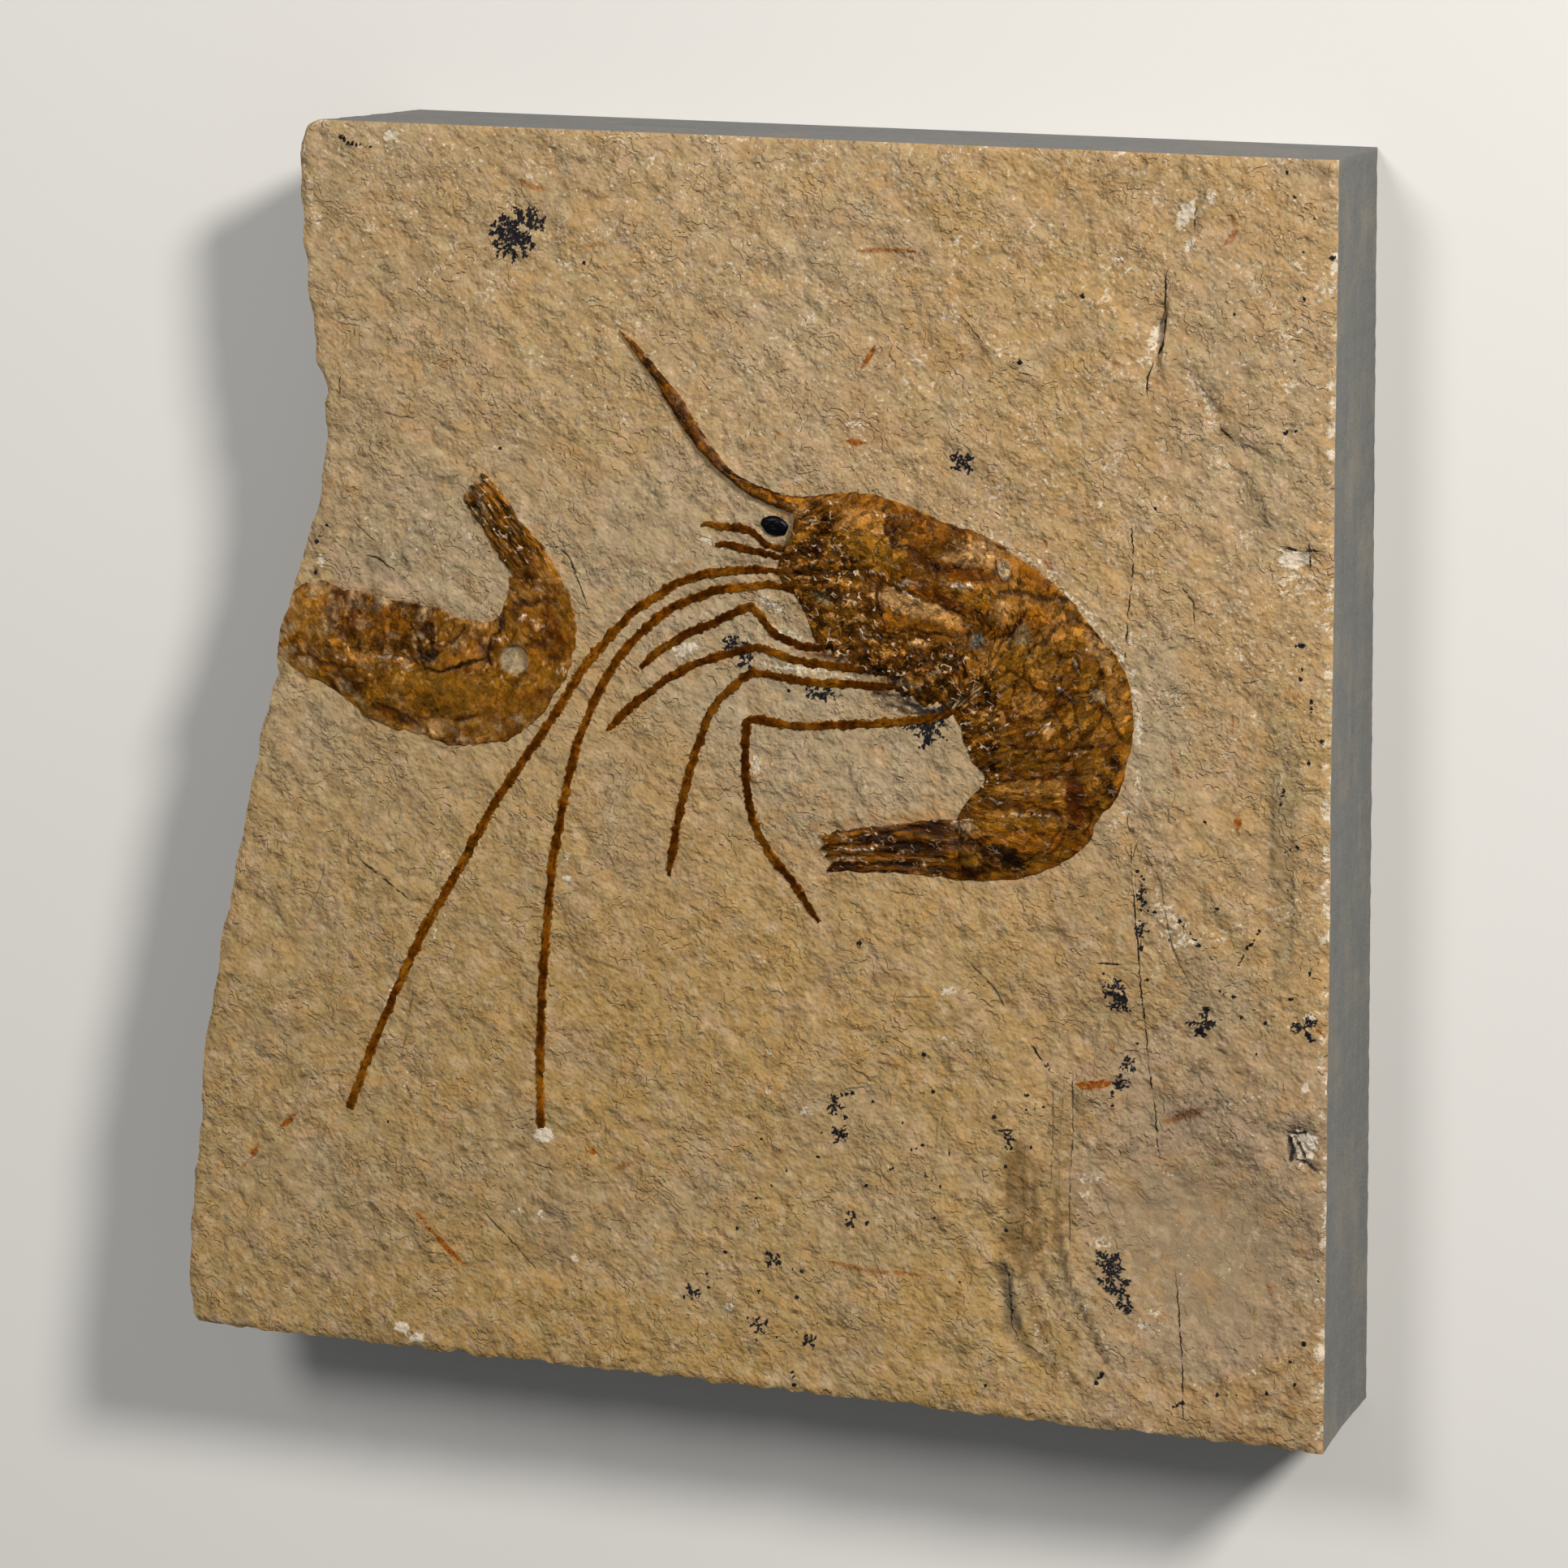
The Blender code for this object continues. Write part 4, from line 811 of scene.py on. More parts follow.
def refined(x, y, rows, columns):
    """The face as a mesh that is four times finer round its small marks."""
    centres = [(cx / 10, cy / 10, reach / 10 * 1.2 + 0.3) for cx, cy, reach, *_ in DENDRITES]
    centres += [(42.2, 46.5, 3), (57, 25.4, 2.4), (59.3, -33.2, 2.6), (-21.9, -39.6, 1.4)]
    mesh = bpy.data.meshes.new("face")
    mesh.from_pydata(np.stack([x, y, 0 * x], 1), [], grid_faces(rows, columns))
    shape = bmesh.new()
    shape.from_mesh(mesh)
    shape.faces.ensure_lookup_table()
    corner = (np.arange(rows - 1)[:, None] * columns + np.arange(columns - 1)).ravel()
    middle_x = 0.5 * (x[corner] + x[corner + columns + 1])
    middle_y = 0.5 * (y[corner] + y[corner + columns + 1])
    r, c = np.divmod(corner, columns)
    inner = (r > 1) & (r < rows - 3) & (c > 1) & (c < columns - 3)
    chosen = np.zeros(len(corner), bool)
    for cx, cy, reach in centres:
        chosen |= inner & (np.hypot(middle_x - cx, middle_y - cy) < reach)
    edges = {edge for k in np.nonzero(chosen)[0] for edge in shape.faces[k].edges}
    bmesh.ops.subdivide_edges(shape, edges=list(edges), cuts=3, use_grid_fill=True)
    shape.to_mesh(mesh)
    shape.free()
    places = np.zeros(len(mesh.vertices) * 3)
    mesh.vertices.foreach_get("co", places)
    places = places.reshape(-1, 3)
    faces = [tuple(face.vertices) for face in mesh.polygons]
    bpy.data.meshes.remove(mesh)
    return places[:, 0], places[:, 1], faces


def make_stone(spacing, finishes):
    """The slab: split face, two sawn and two broken sides, and a flat back."""
    x, y, share, rows, columns = face_grid(spacing)
    loop = border(rows, columns)
    x, y, faces = refined(x, y, rows, columns)
    right = right_side(y)
    paint = paint_face(x, y, right)
    z = plane(y) + stone_height(x, y) + paint.lift
    rim = np.minimum(right - x, TOP_SIDE - y)
    z -= 0.18 * fall(rim, 0, 0.5)
    worn = 0.25 + 0.2 * fractal(x[loop], y[loop], 2.4, 97, 2)
    low_or_left = (np.arange(len(loop)) < columns) | (loop % columns == 0)
    z[loop] -= np.where(low_or_left, np.maximum(0.05, worn), 0.05)
    count = len(loop)
    places = [row_place(x, y, z)]
    colours = [paint.colour]
    chalk = [paint.chalk]
    kinds = [0] * len(faces)
    above = loop
    base = len(x)
    levels = np.concatenate([[0.985, 0.965], np.linspace(0.94, 0, 25)])
    edge_x = x[loop]
    edge_y = y[loop]
    edge_z = z[loop]
    loop_share = share[loop]
    sawn = (loop_share > 0.999) | ((edge_y > TOP_SIDE - 0.01) & (loop_share > 0))
    run = edge_x + edge_y
    for level in levels:
        inward_x, inward_y = undercut(edge_x, edge_y, level, loop_share)
        depth_mm = edge_z * (1 - level)
        near_rim = min(1, 8 * (1 - level))
        rough = 0.3 * fractal(run, 1.8 * depth_mm, 3.4, 101, 3) * near_rim * min(1, 6 * level + 0.3)
        bed = noise(0.12 * run, depth_mm + 0.3 * noise(run, depth_mm, 3, 103), 1.5, 105)
        layered = 0.35 * smooth(bed, -0.1, 0.1) * near_rim
        push = np.where(sawn, 0, np.abs(rough) + layered + 0.05)
        push = push if level < 0.999 else 0 * push
        on_left = np.clip(1 - loop_share / 0.02, 0, 1)
        on_bottom = np.clip(1 - (edge_y - BOTTOM_SIDE) / 2, 0, 1) * (1 - on_left)
        wall_x = edge_x + inward_x + np.where(sawn, 0, push * on_left)
        wall_y = edge_y + inward_y + np.where(sawn, 0, push * on_bottom)
        places.append(row_place(wall_x, wall_y, edge_z * level))
        tone = Canvas(run, depth_mm, BROKEN)
        tone.lay(smooth(fractal(0.6 * run, 3 * depth_mm, 5, 111, 3), -0.2, 0.9) * 0.6, OCHRE)
        tone.lay(smooth(-bed, 0, 0.4) * 0.3, SHADE)
        tone.lay(np.where(sawn, 1, 0), SAWN)
        tone.lay(np.where(sawn & (edge_y > TOP_SIDE - 0.01), 0.75, 0), rgb(112, 112, 112))
        colours.append(tone.colour)
        chalk.append(tone.chalk)
        below = base + np.arange(count)
        following = np.roll(np.arange(count), -1)
        faces += np.stack([above, above[following], below[following], below], 1).tolist()
        kinds += np.where(sawn & sawn[following], 1, 0).tolist()
        above = below
        base += count
    faces.append(above.tolist())
    kinds.append(1)
    places = np.concatenate(places)
    colours = np.concatenate(colours)
    all_x = places[:, 0] + FACE_CENTRE[0]
    all_y = places[:, 1] + FACE_CENTRE[1]
    on_face = np.arange(len(places)) < len(x)
    fields = {"paint": with_alpha(colours, np.concatenate(chalk))}
    for field, values in (("dark_line", line_field(all_x, all_y, CRACKS_AND_STEP_SHADOWS)),
                          ("rust", line_field(all_x, all_y, RUST_STREAKS)),
                          ("speck", speck_field(all_x, all_y)), ("growth", growth_field(all_x, all_y))):
        values[~on_face] = (9, OFF, OFF if field == "speck" else 0)
        fields[field] = values
    return add_mesh("stone", places, faces, finishes, fields, kinds)


# The shells' marks, their own colours and painted glints, as those of the stone
CARAPACE_SPOTS = [
    (ORANGE, (70, -123, 423, 16, 4, -43)), (DARK, (80, -108, 412, 9, 5, -45)), (ORANGE, (60, -90, 387, 18, 4.5, -57)),
    (DARK, (85, -73, 362, 6, 5), (80, -58, 338, 9, 5, -50)), (ORANGE, (70, -44, 328, 10, 4.5, -48)),
    (DARK, (70, -29, 317, 5, 4.5)), (ORANGE, (70, 16, 285, 22, 5, -20)), (AMBER, (80, 52, 275, 15, 9, 0, 4)),
    (PINK, (35, 56, 272, 9, 6)), (ORANGE, (75, 122, 288, 64, 8, -3, 5)),
    (TAN, (50, 93, 284, 15, 4, -8), (80, 126, 274, 27, 5.5, -5, 3)), (OLIVE, (90, 136, 243, 39, 23, -15, 5)),
    (TAN, (55, 130, 262, 25, 9, -5, 2)), (DARK, (85, 154, 256, 5.5, 15, 20, -5)),
    (BROWN, (85, 194, 257, 37, 15, -10, 6)), (ORANGE, (50, 200, 266, 30, 5, -12)),
    (PINK, (90, 246, 242, 20, 12, -15, 5), (60, 222, 235, 14, 6, -8), (50, 248, 259, 14, 3.5, -22)),
    (BUFF, (85, 272, 227, 7.5, 8.5, 15, 6)), (RED, (75, 234, 220, 39, 6.5, -7, -3)),
    (DARK, (70, 188, 232, 18, 5, -20, -4)), (BLACK, (90, 204, 226, 3.5, 4, 0, -5)),
    (TAN, (60, 224, 208, 23, 5, -4, 4)),
    (GLINT, (90, 228, 208, 14, 3, -3, 6), (60, 174, 207, 8, 3.5, 12, 5), (50, 189, 205, 6, 1.8, 12, 4)),
    (RED, (60, 206, 196, 32, 4, -22)), (OLIVE, (70, 242, 195, 13, 6, 12, 3)),
    (PINK, (90, 184, 182, 47, 9.5, -14, 8), (70, 154, 191, 12, 9, -20, 5)), (BROWN, (80, 183, 167, 44, 7, -5)),
    (TAN, (60, 214, 173, 17, 6, -10, 3), (60, 188, 148, 15, 4, 3, 6)), (GLINT, (50, 187, 148, 11, 1.4, 3, 4)),
    (rgb(122, 108, 72), (75, 83, 185, 12, 5.5, -15, 4)), (PINK, (55, 124, 170, 6, 3.5, -10, 3)),
    (TAN, (45, 108, 203, 20, 4, -4)), (PINK, (60, 108, 262, 5, 2.5, 15, 3)),
    (DARK, (70, 86, 260, 10, 7, 20, -4), (60, 88, 134, 16, 3, -8)),
    (BLACK, (85, 163, 113, 8, 4, 0, -5), (85, 210, 108, 7, 4.5, 0, -5), (80, 143, 119, 6, 4, 0, -5),
     (70, 96, 134, 10, 2.5, -10), (70, 128, 139, 11, 2.5, 5, -4), (75, 183, 123, 5, 3.5, 30, -4),
     (80, 31, 234, 6.5, 3.5, -20)), (GREY_STONE, (45, 170, 106, 20, 3.5)), (BUFF, (40, 203, 120, 8, 4, 20, 4)),
    (TAN, (50, 162, 134, 18, 3, 8, 3)), (RED, (60, 226, 119, 14, 4, 10)), (GLINT, (50, 127, 159, 5, 2, 0, 4)),
    (DARK, (60, 62, 210, 14, 9, 20, -3), (60, 76, 236, 12, 9, 60, -3)), (OLIVE, (50, 94, 156, 16, 9, 20)),
]
CARAPACE_STROKES = [
    (BLACK, (85, 50, [-26, 312, -10, 304, 2, 300, 12, 296, 22, 292]),
     (90, 35, [18, 292, 32, 289, 48, 287.5, 68, 286])),
    (DARK, (85, 40, [26, 289, 36, 283, 42, 282]),
     (60, 35, [-136, 440, -114, 422, -96, 398, -78, 372, -56, 342, -30, 317])),
    (GLINT, (55, 20, [134, 275, 150, 272.5, 170, 272.5], 4), (50, 16, [134, 255.5, 149, 257], 3),
     (50, 16, [135, 237, 145, 237.5], 3), (75, 22, [89, 284, 93, 280, 100, 283], 5), (60, 30, [67, 264, 72, 261], 5)),
    (DARK, (85, 45, [149, 270, 151, 254, 158, 244, 174, 242, 188, 238, 204, 230], -6),
     (70, 30, [146, 271, 176, 273, 210, 269, 228, 260, 232, 250, 224, 244], -4),
     (80, 25, [250, 254, 263, 249, 275, 246, 283, 240], -4),
     (85, 28, [263, 235, 267, 221, 272, 215, 279, 219, 282, 228], -5), (70, 30, [216, 230, 230, 225, 256, 225], -4),
     (90, 26, [132, 219, 150, 207, 172, 197, 196, 190, 226, 181, 242, 175], -8)),
    (GLINT, (85, 22, [132, 216, 142, 216, 153, 209], 6), (85, 16, [152, 203.5, 168, 197.5, 182, 194, 193, 192], 6),
     (60, 14, [156, 211, 166, 206], 4), (50, 14, [204, 214, 216, 211], 4)),
    (DARK, (80, 30, [139, 204, 140, 186, 148, 166, 150, 158], -5)),
    (BLACK, (85, 40, [146, 157, 165, 156, 180, 161, 200, 158, 228, 155], -8)),
    (DARK, (70, 25, [168, 146, 176, 152, 196, 152, 204, 146], -4)),
    (GLINT, (85, 16, [120, 155, 132, 153, 144, 152], 5), (60, 14, [124, 151, 134, 146, 145, 147], 4),
     (80, 22, [209, 135, 218, 134, 224, 136], 5), (70, 20, [226, 133, 236, 130], 5),
     (45, 14, [86, 247, 94, 239, 102, 233], 4), (45, 12, [92, 246, 100, 239, 108, 230], 4),
     (45, 12, [80, 224, 92, 225, 106, 222], 4), (40, 14, [70, 218, 76, 226, 78, 234], 4)),
    (DARK, (70, 30, [102, 242, 112, 226, 126, 222, 134, 216], -4), (70, 30, [38, 226, 56, 229, 76, 224], -3),
     (70, 30, [38, 209, 60, 209, 84, 204], -3), (75, 30, [56, 192, 72, 193, 86, 189], -3)),
    (RED, (70, 35, [120, 134, 150, 129, 180, 132, 200, 142], 3),
     (70, 35, [154, 124, 184, 119, 214, 126, 236, 140], 3)),
    (DARK, (70, 30, [182, 150, 194, 132, 190, 112], -3), (70, 30, [222, 152, 214, 126, 202, 106], -3),
     (80, 30, [244, 173, 236, 162, 238, 148], -5)),
]

RING_SPOTS = [
    (BROWN, (85, 309, 217, 28, 11, -32, 6)), (ORANGE, (40, 316, 220, 20, 5, -35)),
    (TAN, (75, 274, 183, 12, 13, 20, 5)), (PINK, (50, 272, 188, 8, 6, 20, 4)), (ORANGE, (60, 310, 183, 11, 10, 0, 5)),
    (TAN, (85, 346, 172, 24, 8, -42, 5)), (PINK, (60, 374, 149, 24, 7, -52, 4)),
    (OLIVE, (85, 313, 134, 16, 19, 10, 8)), (TAN, (50, 313, 129, 10, 12, 10, 3)),
    (OLIVE, (75, 284, 141, 13, 11, 0, 6), (70, 272, 118, 14, 12, 30, 5)), (TAN, (75, 303, 94, 19, 13, -10, 7)),
    (OLIVE, (70, 346, 154, 15, 12, -30, 5), (75, 363, 120, 14, 19, 15, 6)),
    (rgb(120, 108, 76), (60, 294, 163, 8, 11, -35, 3)), (TAN, (70, 394, 100, 9, 24, 5, 5)),
    (BUFF, (50, 372, 107, 9, 8, 0, 5)), (OLIVE, (70, 358, 86, 16, 16, 30, 5)),
    (rgb(96, 100, 90), (85, 248, 153, 6.5, 7.5, 0, -10)), (BLACK, (60, 250, 148, 5, 2.5, 10, -5)),
    (TAN, (50, 256, 135, 9, 10, 30, 3)), (BLACK, (80, 247, 113, 11, 3.5, 0, -6), (85, 259, 100, 4, 13, 5, -6)),
    (BUFF, (50, 246, 102, 6, 5, 0, 5)), (GREY_STONE, (40, 226, 89, 12, 4.5, 20, 2)),
    (BLACK, (70, 224, 100, 7, 5, 0, -4)), (DARK, (70, 339, 66, 5, 10, 5, -5)), (PINK, (60, 324, 69, 7, 5, 20, 4)),
    (OLIVE, (55, 295, 40, 46, 10, 2, 4), (60, 370, 32, 15, 19, -8, 5)), (TAN, (80, 306, 9, 43, 9.5, 6, 6)),
    (OLIVE, (50, 270, 6, 16, 8, 0, 3)), (TAN, (50, 336, 6, 7, 16, 0, 3)), (BLACK, (85, 391, 39, 5, 9, 25, -6)),
    (RED, (100, 352, 2, 10, 23, 3, -4)), (DARK, (55, 354, 8, 6, 13, 0, -3)), (BLACK, (80, 387, 13, 3.5, 12, 0, -5)),
    (AMBER, (60, 399, 20, 6, 12)), (ORANGE, (50, 398, 54, 7, 8)), (BLACK, (85, 349, -27, 8, 4, 5, -6)),
    (OLIVE, (85, 296, -25, 42, 9.5, 4, 8)), (TAN, (60, 283, -19, 20, 5, 4, 4)), (BUFF, (40, 236, -36, 14, 5, 6, 3)),
    (TAN, (50, 254, -39, 14, 5, 0, 3)), (BROWN, (80, 308, -43, 44, 13, 6, 3)),
    (BLACK, (85, 274, -59, 26, 8, -6, -8, 80, 60), (85, 284, -67, 12, 7, 0, -6)),
    (OLIVE, (90, 245, -69, 10, 9.5, -20, 6)), (ORANGE, (60, 224, -63, 13, 5, 10, 3)),
    (DARK, (70, 246, -82, 16, 3.5, 0, -4)), (OLIVE, (60, 325, -59, 26, 4.5, 22, 2), (60, 276, -81, 24, 3, 8, 2)),
    (AMBER, (55, 364, -32, 8, 11, -20, 3)), (OLIVE, (60, 377, -8, 6, 14, -30, 3)), (DARK, (60, 263, 46, 8, 8, 0, -4)),
    (GLINT, (60, 361, 150, 4, 2.5, 0, 4)), (TAN, (40, 263, 179, 9, 5, 0, 3)),
]
RING_STROKES = [
    (BLACK, (80, 60, [268, 204, 290, 205, 314, 200, 336, 201, 346, 196], -8)),
    (DARK, (85, 35, [240, 187, 254, 176, 260, 166, 252, 156], -6),
     (90, 30, [300, 196, 296, 184, 287, 170, 279, 160, 270, 150], -8),
     (85, 30, [242, 143, 250, 131, 262, 125, 280, 126, 296, 120, 310, 108, 323, 98], -8),
     (85, 30, [296, 122, 298, 138, 308, 154, 316, 159, 328, 159], -8),
     (85, 35, [315, 160, 330, 174, 344, 182, 356, 180, 370, 169, 386, 150], -7),
     (85, 28, [328, 158, 334, 144, 329, 128, 326, 114], -7),
     (75, 28, [323, 150, 336, 142, 348, 144, 352, 130, 345, 112], -6),
     (80, 35, [326, 112, 344, 109, 360, 110, 372, 118, 374, 133], -7),
     (80, 30, [344, 108, 350, 94, 352, 76, 360, 62], -6), (90, 25, [380, 102, 385, 88, 391, 74, 399, 62], -7),
     (70, 30, [264, 124, 268, 104, 264, 86, 266, 70], -5),
     (70, 28, [286, 106, 284, 88, 294, 79, 316, 79, 330, 86, 336, 102], -6),
     (80, 35, [246, 50, 280, 49, 320, 50, 360, 54, 396, 62], -8),
     (75, 30, [270, 14, 296, 18, 326, 23, 350, 28, 378, 29], -8), (60, 25, [266, 34, 300, 36, 340, 39], -4),
     (85, 35, [298, -6, 316, -7, 330, -13, 342, -22], -8)),
    (GLINT, (90, 22, [276, -20, 294, -18, 308, -15, 322, -16, 332, -19], 7)),
    (DARK, (85, 28, [332, -21, 335, -34, 324, -50, 306, -63, 294, -67], -6)),
    (BROWN, (60, 50, [302, -19, 300, -34, 294, -48])),
    (GLINT, (60, 20, [246, -9, 260, -5], 5), (55, 18, [220, -33, 232, -29, 244, -28], 5)),
    (DARK, (80, 30, [334, -26, 340, -36, 334, -48, 320, -60], -6),
     (80, 30, [360, -4, 369, -12, 366, -24, 360, -34], -5), (70, 30, [362, 16, 370, 4, 376, -10], -4),
     (80, 40, [230, -49, 250, -46, 266, -44], -5), (80, 35, [232, -62, 234, -74, 244, -82, 256, -80, 260, -68], -5)),
    (GLINT, (80, 20, [269, 68, 276, 72, 282, 71], 5), (85, 25, [300, 63, 310, 66, 316, 73, 326, 78], 6),
     (80, 20, [344, 48, 356, 48, 364, 50], 5), (60, 20, [264, 20, 270, 18], 5),
     (85, 22, [252, -8, 260, -6, 276, -7], 6), (80, 20, [330, 112, 338, 111], 5),
     (80, 22, [314, 101, 319, 98, 322, 94], 5), (60, 14, [344, 144, 349, 136], 4),
     (60, 20, [258, 199, 264, 196], 5), (60, 16, [282, 82, 292, 82], 5), (50, 14, [250, 66, 256, 60], 4),
     (50, 14, [256, 44, 264, 36], 4), (50, 20, [218, 86, 228, 89], 4)),
]

TAIL_SPOTS = [
    (AMBER, (50, 110, -72, 30, 6, 3)), (BLACK, (70, 180, -60, 24, 6, 5, -4)),
    (DARK, (80, 106, -87, 18, 4, 8, -2), (70, 145, -58, 30, 4.5, 4, -3)), (AMBER, (50, 100, -57, 18, 4, 4)),
    (OLIVE, (50, 205, -76, 14, 6, 0, 3)), (RED, (50, 206, -62, 14, 5)), (DARK, (60, 196, -39, 20, 5, 8, -3)),
]
TAIL_STROKES = [
    (BLACK, (70, 45, [190, -56, 220, -52, 254, -51], -4)),
    (DARK, (75, 50, [195, -78, 225, -79, 255, -76], -3), (70, 40, [200, -42, 225, -40, 250, -37], -3)),
    (BLACK, (60, 40, [205, -69, 228, -67, 250, -63], -4)),
    (GLINT, (85, 25, [66, -55, 78, -54, 92, -54], 5), (90, 25, [106, -69, 124, -68, 146, -64], 7),
     (80, 20, [114, -45, 126, -43], 5), (60, 16, [126, -52, 146, -49], 4),
     (60, 18, [96, -80, 116, -76, 138, -78], 5), (70, 20, [184, -75, 196, -75], 5),
     (55, 20, [164, -69, 174, -66], 5)),
    (BLACK, (80, 30, [90, -65, 120, -62, 154, -59, 190, -54], -5),
     (75, 30, [94, -83, 124, -82, 164, -80, 200, -79], -5), (70, 25, [100, -74, 130, -72, 162, -73], -4),
     (70, 25, [110, -49, 150, -46, 190, -39, 216, -36], -4)),
]

FIRST_SPOTS = CARAPACE_SPOTS + RING_SPOTS + TAIL_SPOTS
FIRST_STROKES = CARAPACE_STROKES + RING_STROKES + TAIL_STROKES

SECOND_SPOTS = [
    (TAN, (60, -496, 132, 16, 16, -30, 2)), (OLIVE, (50, -480, 114, 26, 14, -30)),
    (TAN, (50, -468, 134, 14, 10, -40, 3)), (PINK, (45, -470, 159, 20, 4, 8, 3)), (RED, (35, -420, 134, 46, 19, -4)),
    (BROWN, (70, -398, 136, 22, 14, 0, 3)), (OLIVE, (60, -275, 50, 50, 22, 20, 3), (50, -360, 70, 40, 16, 0, 3)),
    (DARK, (50, -406, 150, 12, 6, 60)), (TAN, (55, -418, 92, 36, 5, -2, 4)),
    (GLINT, (60, -446, 90, 6, 2, -10, 4), (45, -396, 94, 18, 1.8, 0, 4), (50, -368, 84, 5, 3, -20, 4),
     (50, -330, 64, 3, 2.2, 0, 4)), (DARK, (70, -476, 86, 26, 3.5, -12, -3)), (OLIVE, (60, -486, 74, 24, 5, -18)),
    (BLACK, (60, -428, 59, 14, 5, 20, -4)),
    (DARK, (60, -438, 70, 10, 7), (70, -374, 113, 5, 4.5, 0, -4), (75, -347, 126, 6, 6, 0, -4)),
    (BLACK, (90, -344, 99, 10, 7.5, 10, -7)), (AMBER, (75, -319, 98, 15, 8, 18, 5), (50, -296, 96, 10, 9, 0, 3)),
    (OLIVE, (60, -320, 69, 34, 14, 0, 4), (50, -380, 54, 34, 12, -5, 4)), (RED, (50, -356, 58, 26, 2.5, 5, -3)),
    (DARK, (65, -386, 36, 22, 5, -28, -5), (60, -304, 38, 18, 4, 15, -4)), (OLIVE, (50, -416, 32, 12, 8, -30)),
    (TAN, (60, -386, 22, 20, 4, -12, 2)), (PINK, (75, -340, 23, 9, 9, 0, 5)), (BROWN, (60, -310, 20, 22, 9, 0, 3)),
    (TAN, (45, -276, 24, 16, 6, 10)), (BROWN, (50, -260, 50, 26, 18, 30, 3)), (OLIVE, (50, -226, 46, 16, 12, 40)),
    (RED, (55, -224, 66, 20, 6, 12, -3)),
    (GLINT, (75, -199, 92, 5, 2.5, 0, 5), (60, -243, 144, 6, 2.5, 10, 5), (50, -224, 140, 9, 2, -20, 5),
     (60, -265, 120, 8, 1.5, 4, 5)), (PINK, (60, -282, 118, 5, 3, 10, 4)), (DARK, (70, -236, 161, 16, 4, 5, -5)),
    (TAN, (70, -232, 173, 18, 5, -8, 5)), (GLINT, (50, -226, 175, 7, 1.5, -10, 4)),
    (AMBER, (50, -206, 176, 12, 10, 0, 3)), (DARK, (60, -228, 118, 14, 4, 10, -4)),
    (RED, (50, -204, 136, 17, 36, 0, 2)), (OLIVE, (50, -196, 150, 7, 20, 5)), (BLACK, (60, -207, 164, 2.5, 2)),
    (DARK, (75, -234, 189, 9, 5, 30, -5)), (BLACK, (70, -266, 136, 3, 8, 10, -4)),
    (DARK, (60, -206, 106, 10, 5, 0, -3), (50, -305, 128, 5, 5, 0, -3)), (PINK, (50, -292, 134, 12, 3, 0, 3)),
]
SECOND_STROKES = [
    (BLACK, (90, 42, [-358, 108, -356, 96, -350, 86, -340, 83, -324, 85, -310, 92, -294, 95, -282, 102], -9)),
    (DARK, (80, 30, [-360, 126, -350, 122, -344, 112, -328, 108, -316, 116, -306, 129], -6),
     (70, 30, [-376, 134, -362, 124, -358, 110], -5)),
    (BLACK, (75, 28, [-263, 150, -268, 134, -276, 120, -281, 106, -276, 92], -6)),
    (DARK, (70, 25, [-292, 120, -284, 106, -272, 86], -5), (75, 35, [-402, 45, -384, 38, -366, 29, -354, 20], -6),
     (70, 35, [-318, 34, -304, 35, -290, 43], -5), (65, 30, [-468, 74, -444, 70, -424, 62, -410, 64], -5),
     (60, 25, [-496, 88, -474, 88, -450, 82, -426, 80], -4), (50, 25, [-440, 102, -416, 100, -382, 103], -4)),
    (RED, (60, 30, [-476, 166, -460, 170, -440, 166, -426, 156], 2)),
    (DARK, (50, 25, [-360, 16, -334, 9, -306, 9, -280, 12], -3), (70, 30, [-246, 164, -234, 159, -220, 163], -5),
     (60, 30, [-244, 130, -230, 122, -212, 110], -5)), (BLACK, (70, 20, [-244, 196, -236, 186, -230, 178], -5)),
]
SECOND_SPOTS += [
    (BLACK, (70, -298, 257, 7, 6, 0, -4)),
    (AMBER, (50, -274, 240, 18, 5, -40), (45, -246, 216, 18, 6, -45)),
    (DARK, (60, -290, 282, 8, 4, -40), (60, -240, 206, 10, 6, -45, -3)),
    (GLINT, (40, -217, 207, 3, 2.5, 0, 4)),
]
SECOND_STROKES += [
    (GLINT, (50, 20, [-270, 224, -284, 240], 4), (40, 15, [-282, 248, -294, 262], 4),
     (40, 15, [-252, 226, -264, 240], 4), (40, 14, [-236, 202, -248, 218], 4)),
    (BLACK, (70, 25, [-234, 216, -254, 244, -272, 266], -5), (70, 25, [-250, 206, -270, 232, -290, 260], -5),
     (60, 25, [-264, 204, -282, 228, -302, 252], -4)),
]
BARE_STONE = (-25.2, 10.05, 1.55)     # round hole in the second shrimp's shell, and its radius


def zone(c, cx, cy, rx, ry, turn=0):
    """1 inside a soft oval on the canvas, 0 outside."""
    a = math.radians(turn)
    u = ((c.x - cx) * math.cos(a) + (c.y - cy) * math.sin(a)) / rx
    v = ((c.y - cy) * math.cos(a) - (c.x - cx) * math.sin(a)) / ry
    return 1 - smooth(np.hypot(u, v) + 0.2 * noise(c.x, c.y, 2, 27), 0.7, 1.25)


def wrinkle(c, amount, size, seed, colour=DARK, strength=0.7, lift=-0.04, turn=0, stretch=1):
    """Thin wandering creases."""
    a = math.radians(turn)
    u = (c.x * math.cos(a) + c.y * math.sin(a)) / stretch
    v = c.y * math.cos(a) - c.x * math.sin(a)
    crease = 1 - smooth(np.abs(noise(u, v, size, seed)), 0.02, 0.2)
    c.lay(crease * amount * strength, colour, lift)


def flecks(c, amount, size, seed, colour=GLINT, strength=0.7, lift=0.05, level=0.5):
    c.lay(amount * strength * smooth(noise(c.x, c.y, size, seed), level, level + 0.2), colour, lift)


